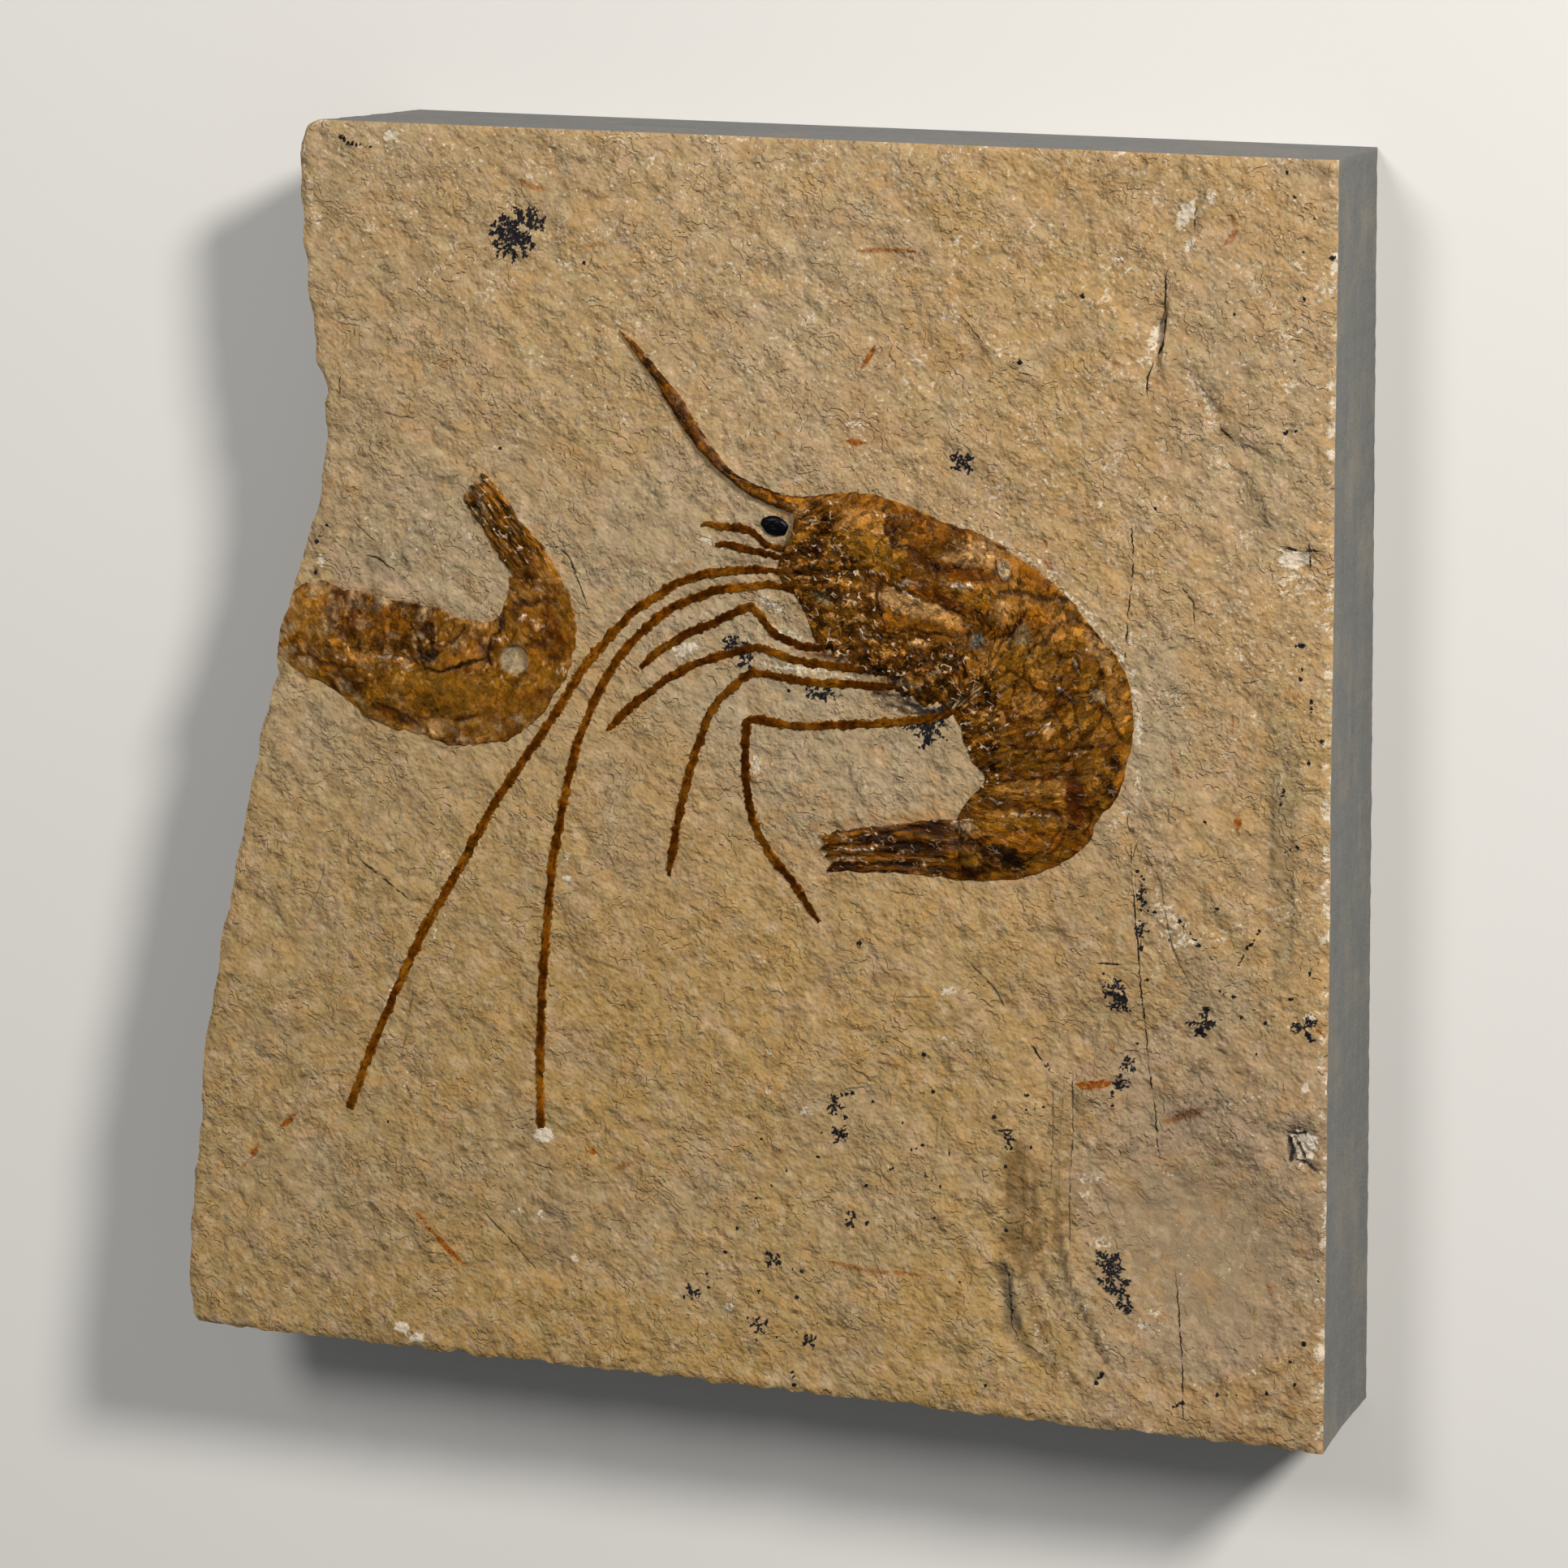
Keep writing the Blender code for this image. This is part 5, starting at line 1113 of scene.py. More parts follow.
def mottle(c, seed):
    """The shell's own uneven brown."""
    x = c.x
    y = c.y
    c.shade(0.94 + 0.2 * fractal(x, y, 3, seed, 4))
    c.lay(smooth(fractal(x, y, 2.4, seed + 4, 4), 0.1, 0.9) * 0.65, DARK, -0.03)
    c.lay(smooth(fractal(x, y, 3.2, seed + 8, 4), 0.1, 0.9) * 0.6, OLIVE, 0.02)
    c.lay(smooth(fractal(x, y, 1.7, seed + 12, 3), 0.3, 1) * 0.5, AMBER, 0.02)


def paint_threads(c, amount, along, across, seed):
    """Dark and pale threads that run the length of a tail fan."""
    thread = noise(across, 0.12 * along, 0.5, seed) + 0.5 * noise(across, 0.12 * along, 0.22, seed + 1)
    c.lay(smooth(thread, 0.05, 0.6) * 0.8 * amount, BLACK, -0.03)
    c.lay(smooth(-thread, 0, 0.6) * 0.6 * amount, ORANGE, 0.03)
    c.lay(smooth(-thread, 0.6, 0.85) * 0.2 * amount, PINK, 0.03)
    flecks(c, smooth(-thread, 0.1, 0.5) * amount, 0.5, seed + 2, GLINT, 0.1, 0.03, 0.5)


def paint_first(c):
    """The complete shrimp's shell, rings and tail, painted as one."""
    mottle(c, 121)
    head = zone(c, 7.2, 20.4, 5, 7.6)
    under = zone(c, 17.5, 12.8, 9.5, 3, -6)
    cheek = zone(c, 12, 17.2, 3.4, 3.2)
    inner = zone(c, 24.6, 6, 2.8, 7.5)
    tail = fall(c.x, 20.5, 26.5) * smooth(-c.y, 1.5, 3.4)
    rings = smooth(c.x, 22, 27) * smooth(c.y, 4, 8)
    low_rings = smooth(c.x, 24, 27) * fall(c.y, 4, 8) * (1 - tail)
    c.crumple = np.maximum(np.maximum.reduce([head, under, 0.8 * cheek, 0.9 * inner, 0.42 * tail]), 0.34)
    c.lay(under * 0.6, AMBER)
    c.lay(head * 0.15, AMBER)
    wrinkle(c, np.maximum(head, 0.8 * under), 1.3, 133, BLACK, 0.55, -0.07)
    wrinkle(c, under, 1.1, 136, BLACK, 0.45, -0.05, turn=-35, stretch=2.5)
    wrinkle(c, inner, 0.9, 167, BLACK, 0.6, -0.06)
    flecks(c, np.maximum(np.maximum(head, 0.7 * under), inner), 0.7, 137, OLIVE, 0.7, 0.05, 0.3)
    flecks(c, np.maximum(cheek, under), 0.7, 139, TAN, 0.55, 0.04, 0.35)
    wrinkle(c, 1 - np.maximum(np.maximum(head, tail), rings), 4.2, 141, DARK, 0.4, -0.03, turn=-18, stretch=1.8)
    edge, mark = plates(c.x, c.y, 3.1, 163)
    dark_line = 1 - smooth(edge + 0.08 * noise(c.x, c.y, 0.8, 165), 0.03, 0.22)
    c.lay(rings * dark_line * 0.9, DARK, -0.07)
    c.lay(rings * smooth(mark, 0.6, 0.66) * 0.55, OLIVE, 0.04)
    c.lay(rings * smooth(-mark, -0.3, -0.24) * 0.55, TAN, 0.03)
    wrinkle(c, low_rings, 2.6, 171, DARK, 0.3, -0.03, turn=6, stretch=2)
    c.lay(tail * 0.58, DARK)
    fan = smooth(-c.x, -23.5, -20) * tail
    paint_threads(c, fan, c.x, 5 * (c.y + 9.1) / (2.9 + 0.15 * c.x), 191)
    c.softness = 0.6
    c.marks(FIRST_SPOTS, FIRST_STROKES, 0.28)


def paint_second(c):
    """The partial shrimp's rings and tail, painted as one."""
    c.lay(np.full(len(c.x), 0.45), OLIVE)
    mottle(c, 221)
    c.lay(smooth(fractal(c.x, c.y, 2.2, 223, 3), 0.1, 0.7) * (0.15 + 0.35 * smooth(-c.x, 32, 46)), BUFF, 0.02)
    c.lay(smooth(fractal(c.x, c.y, 1.9, 225, 3), 0.1, 0.6) * 0.5, RED, -0.02)
    c.lay(smooth(fractal(c.x, c.y, 4, 227, 2), 0, 0.6) * 0.5, OLIVE)
    along = 0.78 * (c.y - 19.3) - 0.63 * (c.x + 23)
    across = 0.78 * (c.x + 23) + 0.63 * (c.y - 19.3)
    fan = smooth(along, -0.5, 2) * smooth(c.y, 17.5, 19.5)
    wrinkle(c, 1 - fan, 2.2, 231, DARK, 0.5, -0.04)
    left = zone(c, -40, 12, 9, 4)
    wrinkle(c, left, 1.1, 233, DARK, 0.4, -0.03)
    flecks(c, 1 - fan, 0.9, 235, TAN, 0.5, 0.04, 0.35)
    flecks(c, (1 - fan) * smooth(fractal(c.x, c.y, 4, 229, 2), -0.3, 0.3), 0.55, 236, PINK, 0.75, 0.05, 0.35)
    flecks(c, left, 1.5, 237, BUFF, 0.35, 0.02, 0.3)
    c.crumple = np.maximum(np.maximum(0.28 * left, 0.6 * fan), 0.12)
    paint_threads(c, fan, along, 5 * across / (5.4 - 0.2 * along), 211)
    c.marks(SECOND_SPOTS, SECOND_STROKES, 0.28)
    thin = smooth(fractal(c.x, c.y, 1.6, 239, 3), -0.2, 1)
    top_edge = smooth(c.y, 13.2, 15.4) * smooth(-c.x, 27, 31)
    left_end = smooth(-c.x, 44, 51)
    low_edge = smooth(-c.y + 0.25 * (c.x + 38), -3, -0.6) * 0.8
    c.lay(np.maximum.reduce([top_edge, 0.9 * left_end, low_edge]) * thin * 0.65, BUFF)


def crown(t, roundness=2.2):
    return 1 - np.abs(2 * t - 1) ** roundness


def carapace_rise(u, t, last):
    width = smooth(u, 0, HEAD_START + 3)
    rise = (0.3 + 0.45 * width - 0.15 * smooth(u, 22, 25.5)) * crown(t) - 0.14 * smooth(u, last - 0.35, last)
    rise = rise - 0.28 * bump(t - 0.52, 0.09) * smooth(u, 17, 20)
    return rise + 0.12 * bump(t - 0.25, 0.12) * smooth(u, 15, 18)


def ring_rise(u, t, ends, rise):
    start = 0
    step = 0 * u
    for end in ends:
        inside = (u >= start) & (u < end)
        step = np.where(inside, (u - start) / (end - start), step)
        start = end
    step = step * fall(step, 0.93, 1)
    return rise * crown(t) + 0.15 * step * crown(t, 4)


def fan_rise(u, t, last):
    lobe = np.abs((10 * t) % 2 - 1)
    start = 0.3 * fall(u / last, 0, 0.4) * crown(t)
    return 0.2 * crown(t) + start + 0.1 * (1 - lobe) * smooth(u / last, 0.1, 0.4)


FAN_TIP_REACH = [0, -0.2, 0.5, 0.9, 0.3, 0.7, 0.2, 0.8, 0.5, 0.3, 0.6]


class Shell:
    """What is told apart from shell to shell."""

    def __init__(self, back, belly, rise, paint, bow=None, ragged=0.17, fan=False, start=0, plate=(0.75, 1.1)):
        self.back = back
        self.belly = belly
        self.rise = rise
        self.paint = paint
        self.bow = bow
        self.ragged = ragged
        self.fan = fan
        self.start = start
        self.plate = plate            # how much its plates are squeezed along and across the body


def head_bow(u, last):
    return -1.5 * smooth(u, 20, 26)


def ring_bow(u, last):
    return -1.3 * fall(u, 0, 0.6 * last)


SHELLS = {
    "carapace": Shell(CARAPACE_BACK, CARAPACE_BELLY, carapace_rise, paint_first, head_bow),
    "abdomen": Shell(ABDOMEN_BACK, ABDOMEN_BELLY, lambda u, t, last: ring_rise(u, t, RING_ENDS, 0.62),
                     paint_first, ring_bow, start=-0.9, plate=(1.1, 0.65)),
    "tail_fan": Shell(TAIL_BACK, TAIL_BELLY, fan_rise, paint_first, fan=True, start=-0.5, plate=(0.3, 1.6)),
    "second_abdomen": Shell(SECOND_BACK, SECOND_BELLY, lambda u, t, last: ring_rise(u, t, SECOND_RING_ENDS, 0.4),
                            paint_second, ring_bow, ragged=0.22, plate=(0.9, 0.8)),
    "second_tail_fan": Shell(SECOND_TAIL_BACK, SECOND_TAIL_BELLY, fan_rise, paint_second, fan=True, start=-0.5,
                             plate=(0.3, 1.6)),
}
SKIRT_DEPTH = 0.4


def left_rim(y):
    """Where the broken left side meets the face."""
    left = np.interp(y, [p[1] for p in LEFT_SIDE], [p[0] for p in LEFT_SIDE])
    return left + 0.28 * noise(y, 0 * y, 2.6, 91) + 0.1 * noise(y, 0 * y, 0.8, 92)


def make_shell(name, spacing, finish):
    """A pressed shell: a painted, wrinkled top and a flat underside sunk in the stone."""
    kind = SHELLS[name]
    last = len(kind.back) - 1
    probe = np.linspace(0, last, 60)
    edge_a = curve(kind.back, probe)
    edge_b = curve(kind.belly, probe)
    travelled = np.concatenate([[0], np.cumsum(np.hypot(*np.diff(0.5 * (edge_a + edge_b), axis=0).T))])
    length = travelled[-1]
    widest = np.hypot(*(edge_b - edge_a).T).max()
    rows = round(length / spacing) + 1
    columns = round(widest / spacing) + 1
    u_row = np.interp(np.linspace(0, length, rows), travelled, probe)
    if kind.start:
        under = np.arange(kind.start, 0, 0.12)
        u_row = np.concatenate([under, u_row])
        rows = len(u_row)
    u = np.repeat(u_row, columns)
    t = np.tile(np.linspace(0, 1, columns), rows)
    a = curve(kind.back, u)
    b = curve(kind.belly, u)
    across = b - a
    width = np.hypot(*across.T)
    unit = across / width[:, None]
    narrow = smooth(width, 0.3, 3)
    a = a - unit * (kind.ragged * (0.4 + 0.6 * narrow) * fractal(a[:, 0], a[:, 1], 1.3, 241, 4))[:, None]
    b = b + unit * (kind.ragged * (0.4 + 0.6 * narrow) * fractal(b[:, 0], b[:, 1], 1.1, 245, 4))[:, None]
    if name == "carapace":
        fringe = 0.35 * smooth(u, 12.4, 13.6) + 0.65 * smooth(u, 18, 20.5)
        spikes = 1.3 + 0.7 * noise(b[:, 0], b[:, 1], 1.1, 247) + 0.5 * noise(b[:, 0], b[:, 1], 0.45, 248)
        b = b + unit * (fringe * np.maximum(0, spikes))[:, None]
    places = a + (b - a) * t[:, None]
    if kind.bow:
        push = kind.bow(u, last) * 4 * t * (1 - t)
        places = places + np.stack([unit[:, 1], -unit[:, 0]], 1) * push[:, None]
    run = np.interp(u, probe, travelled)
    if kind.fan:
        ahead = curve(kind.back, u + 0.2) + (curve(kind.belly, u + 0.2) - curve(kind.back, u + 0.2)) * t[:, None]
        along = ahead - (a + (b - a) * t[:, None])
        along = along / np.maximum(np.hypot(*along.T), 1e-6)[:, None]
        reach = np.interp(10 * t, np.arange(11), FAN_TIP_REACH) + 0.45 * noise(30 * t, 0 * t, 0.9, 251)
        places = places - along * (reach * smooth(u / last, 0.6, 1))[:, None]
    x, y = places.T
    if name == "second_abdomen":
        x = np.maximum(x, left_rim(y) + 0.12)
    c = Canvas(x, y, BROWN)
    kind.paint(c)
    low = 0 * t
    if name == "carapace":
        low = smooth(u, 19, 20.5) * smooth(t, 0.84, 0.96)
        c.lay(low * smooth(noise(x, y, 0.7, 259), -0.5, 0.3) * 0.85, BLACK, 0.03)
    edge = np.minimum(t, 1 - t) * width
    if kind.fan:
        edge = np.minimum(edge, np.maximum(length - run, 0))
    if name == "carapace":
        edge = np.minimum(edge, run)
    ease = smooth(edge, 0, 0.16)
    wander = np.clip(u + 0.3 * fractal(x, y, 3, 249, 2) * smooth(u, 0, 1), 0, last)
    rise = 0.07 + kind.rise(wander, t, last) + c.lift * smooth(edge, 0.1, 0.5)
    rise = rise - 0.3 * smooth(-u, 0.3, 0.3 + 0.6 * abs(kind.start) + 1e-6)
    if name == "second_abdomen":
        hole = np.hypot(x - BARE_STONE[0], (y - BARE_STONE[1]) * 1.08) + 0.12 * noise(x, y, 0.8, 253)
        open_stone = 1 - smooth(hole, BARE_STONE[2] - 0.1, BARE_STONE[2] + 0.12)
        rise = rise * (1 - open_stone) + 0.03 * open_stone
        c.lay(open_stone, rgb(158, 138, 106))
        c.shade(1 + 0.1 * open_stone * fractal(x, y, 1.2, 255, 2))
        c.crumple = c.crumple * (1 - open_stone)
    rim = noise(x, y, 0.9, 257)
    c.lay(fall(edge, 0.05, 0.4) * 0.5 * smooth(rim, -0.3, 0.3), DARK)
    c.lay(fall(edge, 0, 0.3) * 0.6 * smooth(-rim, 0, 0.5) * (1 - low), OCHRE)
    z = plane(y) + relief(x, y) + grain(x, y) * (1 - 0.5 * smooth(edge, 0.5, 2.5))
    z = z + rise * ease - 0.25 * (1 - ease)
    loop = border(rows, columns)
    under = plane(y[loop]) - SKIRT_DEPTH
    vertices = np.concatenate([row_place(x, y, z), row_place(x[loop], y[loop], under)])
    count = len(loop)
    below = len(x) + np.arange(count)
    following = np.roll(np.arange(count), -1)
    faces = grid_faces(rows, columns)
    faces += np.stack([loop, loop[following], below[following], below], 1).tolist()
    faces.append(below.tolist())
    film = np.zeros((len(vertices), 3))
    film[:len(x), 0] = smooth(edge, 0, 0.8)
    film[:len(x), 1] = c.crumple
    film[len(x):] = film[loop]
    body = np.zeros((len(vertices), 3))
    body[:len(x), 0] = run * kind.plate[0]
    body[:len(x), 1] = t * width * kind.plate[1]
    body[len(x):] = body[loop]
    return add_mesh(name + "_film", vertices, faces, [finish],
                    {"paint": with_alpha(np.concatenate([c.colour, c.colour[loop]])), "film": film, "body": body},
                    smooth_angle=70)


def make_limb(name, path, width, spacing, finish, seed, body_end, depth):
    """A flat rusty limb, ragged along its edges, that sinks under the shell at its body end."""
    last = len(path) - 1
    probe = curve(path, np.linspace(0, last, 300))
    travelled = np.concatenate([[0], np.cumsum(np.hypot(*np.diff(probe, axis=0).T))])
    length = travelled[-1]
    pieces = round(length / spacing)
    u = np.interp(np.linspace(0, length, pieces + 1), travelled, np.linspace(0, last, 300))
    centre = curve(path, u)
    run = np.linspace(0, length, pieces + 1)
    along = np.gradient(centre, axis=0)
    along = along / np.hypot(*along.T)[:, None]
    side = np.stack([-along[:, 1], along[:, 0]], 1)
    knots = noise(run, 0 * run + seed, 1.9, seed)
    to_end = run if body_end == "start" else length - run
    ragged = 1 + 0.15 * knots + 0.12 * noise(run, 0 * run, 0.7, seed + 13)
    half = 0.5 * width * (0.45 + 0.55 * smooth(run, 0, 2)) * ragged
    half = half * (0.6 + 0.4 * smooth(to_end, 0, 5))
    centre = centre + side * (0.07 * noise(run, 0 * run, 1.1, seed + 2))[:, None]
    sides = 13
    angle = np.linspace(0, math.pi, sides)
    across = np.tile(np.cos(angle), pieces + 1)
    arch = np.tile(np.sin(angle), pieces + 1)
    where = np.repeat(run, sides)
    middle = np.repeat(centre, sides, axis=0)
    outward = np.repeat(side, sides, axis=0)
    reach = np.repeat(half, sides) * across
    rough = np.where(across > 0, noise(where, 0 * where, 0.3, seed + 3), noise(where, 0 * where, 0.3, seed + 4))
    rough = rough + np.where(across > 0, noise(where, 0 * where, 0.7, seed + 9),
                             noise(where, 0 * where, 0.7, seed + 10))
    reach = reach + (0.13 * rough + 0.05 * smooth(rough, 0.2, 0.8)) * across * np.abs(across)
    x, y = (middle + outward * reach[:, None]).T
    c = Canvas(x, y, LIMB)
    c.shade(1 + 0.25 * fractal(x, y, 0.8, seed + 12, 3))
    patchy = fractal(where, 0.4 * reach + seed, 5, seed + 5, 4)
    c.lay(smooth(-patchy, -0.1, 0.6) * 0.7, LIMB_LIGHT)
    c.lay(smooth(np.abs(across) + 0.3 * rough, 0.6, 0.95) * 0.55, LIMB_LIGHT)
    c.lay(smooth(patchy + 0.3 * rough, -0.2, 0.6) * smooth(1.1 - np.abs(across), 0.1, 0.5) * 0.7, DARK, 0.02)
    c.lay(smooth(fractal(0.5 * where, 1.6 * reach + seed, 0.45, seed + 6, 3), 0.2, 0.7) * 0.8, DARK, 0.02)
    from_body = where if body_end == "start" else length - where
    c.lay(fall(from_body, 1, 8) * smooth(rough, -1.2, 0.6) * 0.8, DARK)
    c.lay(smooth(noise(where, 0.5 * reach + seed, 1.7, seed + 14), -1, 0.8) * depth, DARK)
    knotted = smooth(noise(where, 0 * where + seed, 2, seed + 7), 0.68, 0.76)
    c.lay(knotted * 0.7, BLACK, 0.04)
    rise = 0.14 * arch ** 0.3 + 0.02 * knots.repeat(sides) * arch + (c.lift + 0.03 * rough) * arch
    z = plane(y) + stone_height(x, y) + rise - 0.12 * fall(arch, 0, 0.35)
    z = z - 0.3 * fall(from_body, 0, 0.8)
    free = length - where if body_end == "start" else where
    z = z - 0.2 * arch * fall(free, 0, 0.15)
    low_a = centre + side * half[:, None]
    low_b = centre - side * half[:, None]
    under_a = row_place(low_a[:, 0], low_a[:, 1], plane(low_a[:, 1]) - SKIRT_DEPTH)
    under_b = row_place(low_b[:, 0], low_b[:, 1], plane(low_b[:, 1]) - SKIRT_DEPTH)
    vertices = np.concatenate([row_place(x, y, z), under_a, under_b])
    first_a = len(x)
    first_b = first_a + pieces + 1
    faces = grid_faces(pieces + 1, sides)
    for k in range(pieces):
        top = k * sides
        faces.append((top, top + sides, first_a + k + 1, first_a + k))
        faces.append((top + sides - 1, first_b + k, first_b + k + 1, top + 2 * sides - 1))
        faces.append((first_a + k, first_a + k + 1, first_b + k + 1, first_b + k))
    for k in (0, pieces):
        faces.append([k * sides + s for s in range(sides)] + [first_b + k, first_a + k])
    colours = np.concatenate([c.colour, np.tile(np.array(DARK), (2 * (pieces + 1), 1))])
    film = np.zeros((len(vertices), 3))
    film[:len(x), 0] = arch
    film[:len(x), 1] = 0.1
    body = np.zeros((len(vertices), 3))
    body[:len(x), 0] = where
    body[:len(x), 1] = reach + seed
    return add_mesh(name + "_film", vertices, faces, [finish],
                    {"paint": with_alpha(colours), "film": film, "body": body}, smooth_angle=70)


def make_eye(finish):
    """The eye: a black, nearly flat disc with an uneven rim."""
    outline = curve(EYE_OUTLINE + EYE_OUTLINE[:1], np.linspace(0, len(EYE_OUTLINE), 96, endpoint=False))
    centre = outline.mean(0)
    rings = 26
    vertices = []
    colours = []
    black = np.array(rgb(3, 3, 6))
    for ring in range(rings + 1):
        size = math.cos(0.5 * math.pi * ring / (rings + 1))
        x, y = (centre + (outline - centre) * size).T
        rough = 0.07 * noise(x, y, 0.5, 261) * size ** 4
        x = x + rough * (x - centre[0])
        y = y + rough * (y - centre[1])
        dome = 0.5 * (1 - size ** 4) ** 0.6
        dents = 0.07 * fractal(x, y, 0.8, 263, 2) * (1 - size ** 4)
        dents = dents - 0.12 * np.exp(-((x - 3.3) ** 2 + (y - 24.8) ** 2) / 0.06)
        vertices.append(row_place(x, y, plane(y) + relief(x, y) + dome + dents - 0.1 * size ** 8))
        colours.append(black * (1 + 0.5 * noise(x, y, 0.6, 265))[:, None])
    count = len(outline)
    top = row_place(centre[:1], centre[1:], np.array([plane(centre[1]) + relief(centre[0], centre[1]) + 0.5]))
    low = row_place(*outline.T, plane(outline[:, 1]) - SKIRT_DEPTH)
    faces = []
    following = np.roll(np.arange(count), -1)
    for ring in range(rings):
        a = ring * count + np.arange(count)
        b = ring * count + following
        faces += np.stack([a, b, b + count, a + count], 1).tolist()
    apex = (rings + 1) * count
    last_ring = rings * count
    faces += [(last_ring + k, last_ring + int(following[k]), apex) for k in range(count)]
    first_low = apex + 1
    faces += [(k, first_low + k, first_low + int(following[k]), int(following[k])) for k in range(count)]
    faces.append([first_low + k for k in range(count)])
    vertices = np.concatenate([*vertices, top, low])
    colours = np.concatenate([*colours, np.tile(black, (count + 1, 1))])
    return add_mesh("eye_film", vertices, faces, [finish], {"paint": with_alpha(colours)}, smooth_angle=70)


# Materials


class Finish:
    """A material whose nodes are joined as they are made."""

    def __init__(self, name, **sockets):
        self.material = bpy.data.materials.new(name)
        self.material.use_nodes = True
        self.tree = self.material.node_tree
        self.shader = self.tree.nodes["Principled BSDF"]
        self.sockets(self.shader, {key.replace("_", " "): value for key, value in sockets.items()})
        place = self.node("TexCoord", {}).outputs["Object"]
        self.place = self.node("VectorMath", {0: place, "Scale": 1000}, operation="SCALE").outputs[0]

    def sockets(self, node, values):
        for key, value in values.items():
            if isinstance(value, bpy.types.NodeSocket):
                self.tree.links.new(value, node.inputs[key])
            else:
                node.inputs[key].default_value = value

    def node(self, kind, values, **settings):
        made = self.tree.nodes.new("ShaderNode" + kind)
        for key, value in settings.items():
            setattr(made, key, value)
        self.sockets(made, values)
        return made

    def maths(self, operation, a, b=0, c=0):
        return self.node("Math", {0: a, 1: b, 2: c}, operation=operation).outputs[0]

    def times(self, a, b):
        return self.maths("MULTIPLY", a, b)

    def times_plus(self, a, b, c):
        return self.maths("MULTIPLY_ADD", a, b, c)

    def plus(self, a, b):
        return self.maths("ADD", a, b)

    def minus(self, a, b):
        return self.maths("SUBTRACT", a, b)

    def rise(self, value, start, end, low=0, high=1):
        return self.node("MapRange", {"Value": value, "From Min": start, "From Max": end, "To Min": low,
                                      "To Max": high}, interpolation_type="SMOOTHSTEP").outputs[0]

    def noise(self, size, detail=3, roughness=0.55, stretch=(1, 1, 1), turn=0, offset=0, place=None):
        """Noise with forms about size millimetres across, stretched along its own axes."""
        place = self.node("Mapping", {"Vector": place or self.place, "Rotation": (0, 0, math.radians(turn)),
                                      "Location": (offset, offset, 0), "Scale": stretch},
                          vector_type="TEXTURE").outputs[0]
        return self.node("TexNoise", {"Vector": place, "Scale": 1 / size, "Detail": detail,
                                      "Roughness": roughness}).outputs["Fac"]

    def blend(self, amount, a, b, mode="MIX"):
        made = self.node("Mix", {}, data_type="RGBA", blend_type=mode, clamp_factor=True)
        self.sockets(made, {0: amount, 6: a if isinstance(a, bpy.types.NodeSocket) else (*a, 1),
                            7: b if isinstance(b, bpy.types.NodeSocket) else (*b, 1)})
        return made.outputs[2]

    def tinted(self, colour, value, low, high):
        """The colour made darker or lighter by a value from 0 to 1."""
        factor = self.node("MapRange", {"Value": value, "From Min": 0.25, "From Max": 0.75, "To Min": low,
                                        "To Max": high}).outputs[0]
        return self.node("VectorMath", {0: colour, "Scale": factor}, operation="SCALE").outputs[0]

    def attribute(self, name):
        return self.node("Attribute", {}, attribute_name=name)

    def line_mark(self, name, wander, reach, soft):
        """A crisp line from a field of signed distance, half width and strength."""
        parts = self.node("SeparateXYZ", {0: self.attribute(name).outputs["Vector"]}).outputs
        shifted = self.times_plus(wander, reach, self.minus(parts[0], 0.5 * reach))
        inside = self.minus(parts[1], self.maths("ABSOLUTE", shifted))
        return self.times(self.rise(inside, -soft, soft), parts[2])

    def facets(self, size, place=None):
        """Flat chips about size millimetres across, each leaning its own way.

        Gives their height in millimetres, a random tone from 0 to 1 for each, and the distance from their borders.
        """
        place = place or self.place
        shift = self.node("TexNoise", {"Vector": place, "Scale": 1.1 / size, "Detail": 2}).outputs["Color"]
        place = self.node("VectorMath", {0: shift, 1: (1.1 * size, 1.1 * size, 0), 2: place},
                          operation="MULTIPLY_ADD").outputs[0]
        shared = {"Vector": place, "Scale": 1 / size}
        chip = self.node("TexVoronoi", shared, voronoi_dimensions="2D").outputs
        border = self.node("TexVoronoi", shared, voronoi_dimensions="2D", feature="DISTANCE_TO_EDGE").outputs[0]
        from_middle = self.node("VectorMath", {0: place, 1: chip["Position"]}, operation="SUBTRACT").outputs[0]
        lean = self.node("VectorMath", {0: chip["Color"], 1: (1, 1, 0), 2: (-0.5, -0.5, 0)},
                         operation="MULTIPLY_ADD").outputs[0]
        height = self.node("VectorMath", {0: from_middle, 1: lean}, operation="DOT_PRODUCT").outputs["Value"]
        tone = self.node("SeparateXYZ", {0: chip["Color"]}).outputs[2]
        return height, tone, border

    def finish(self, colour, roughness, height, distance=MM):
        bumps = self.node("Bump", {"Strength": 1, "Distance": distance, "Height": height}).outputs[0]
        self.sockets(self.shader, {"Base Color": colour, "Roughness": roughness, "Normal": bumps})
        if self.shader.inputs["Coat Weight"].default_value:
            self.sockets(self.shader, {"Coat Normal": bumps})
        return self.material


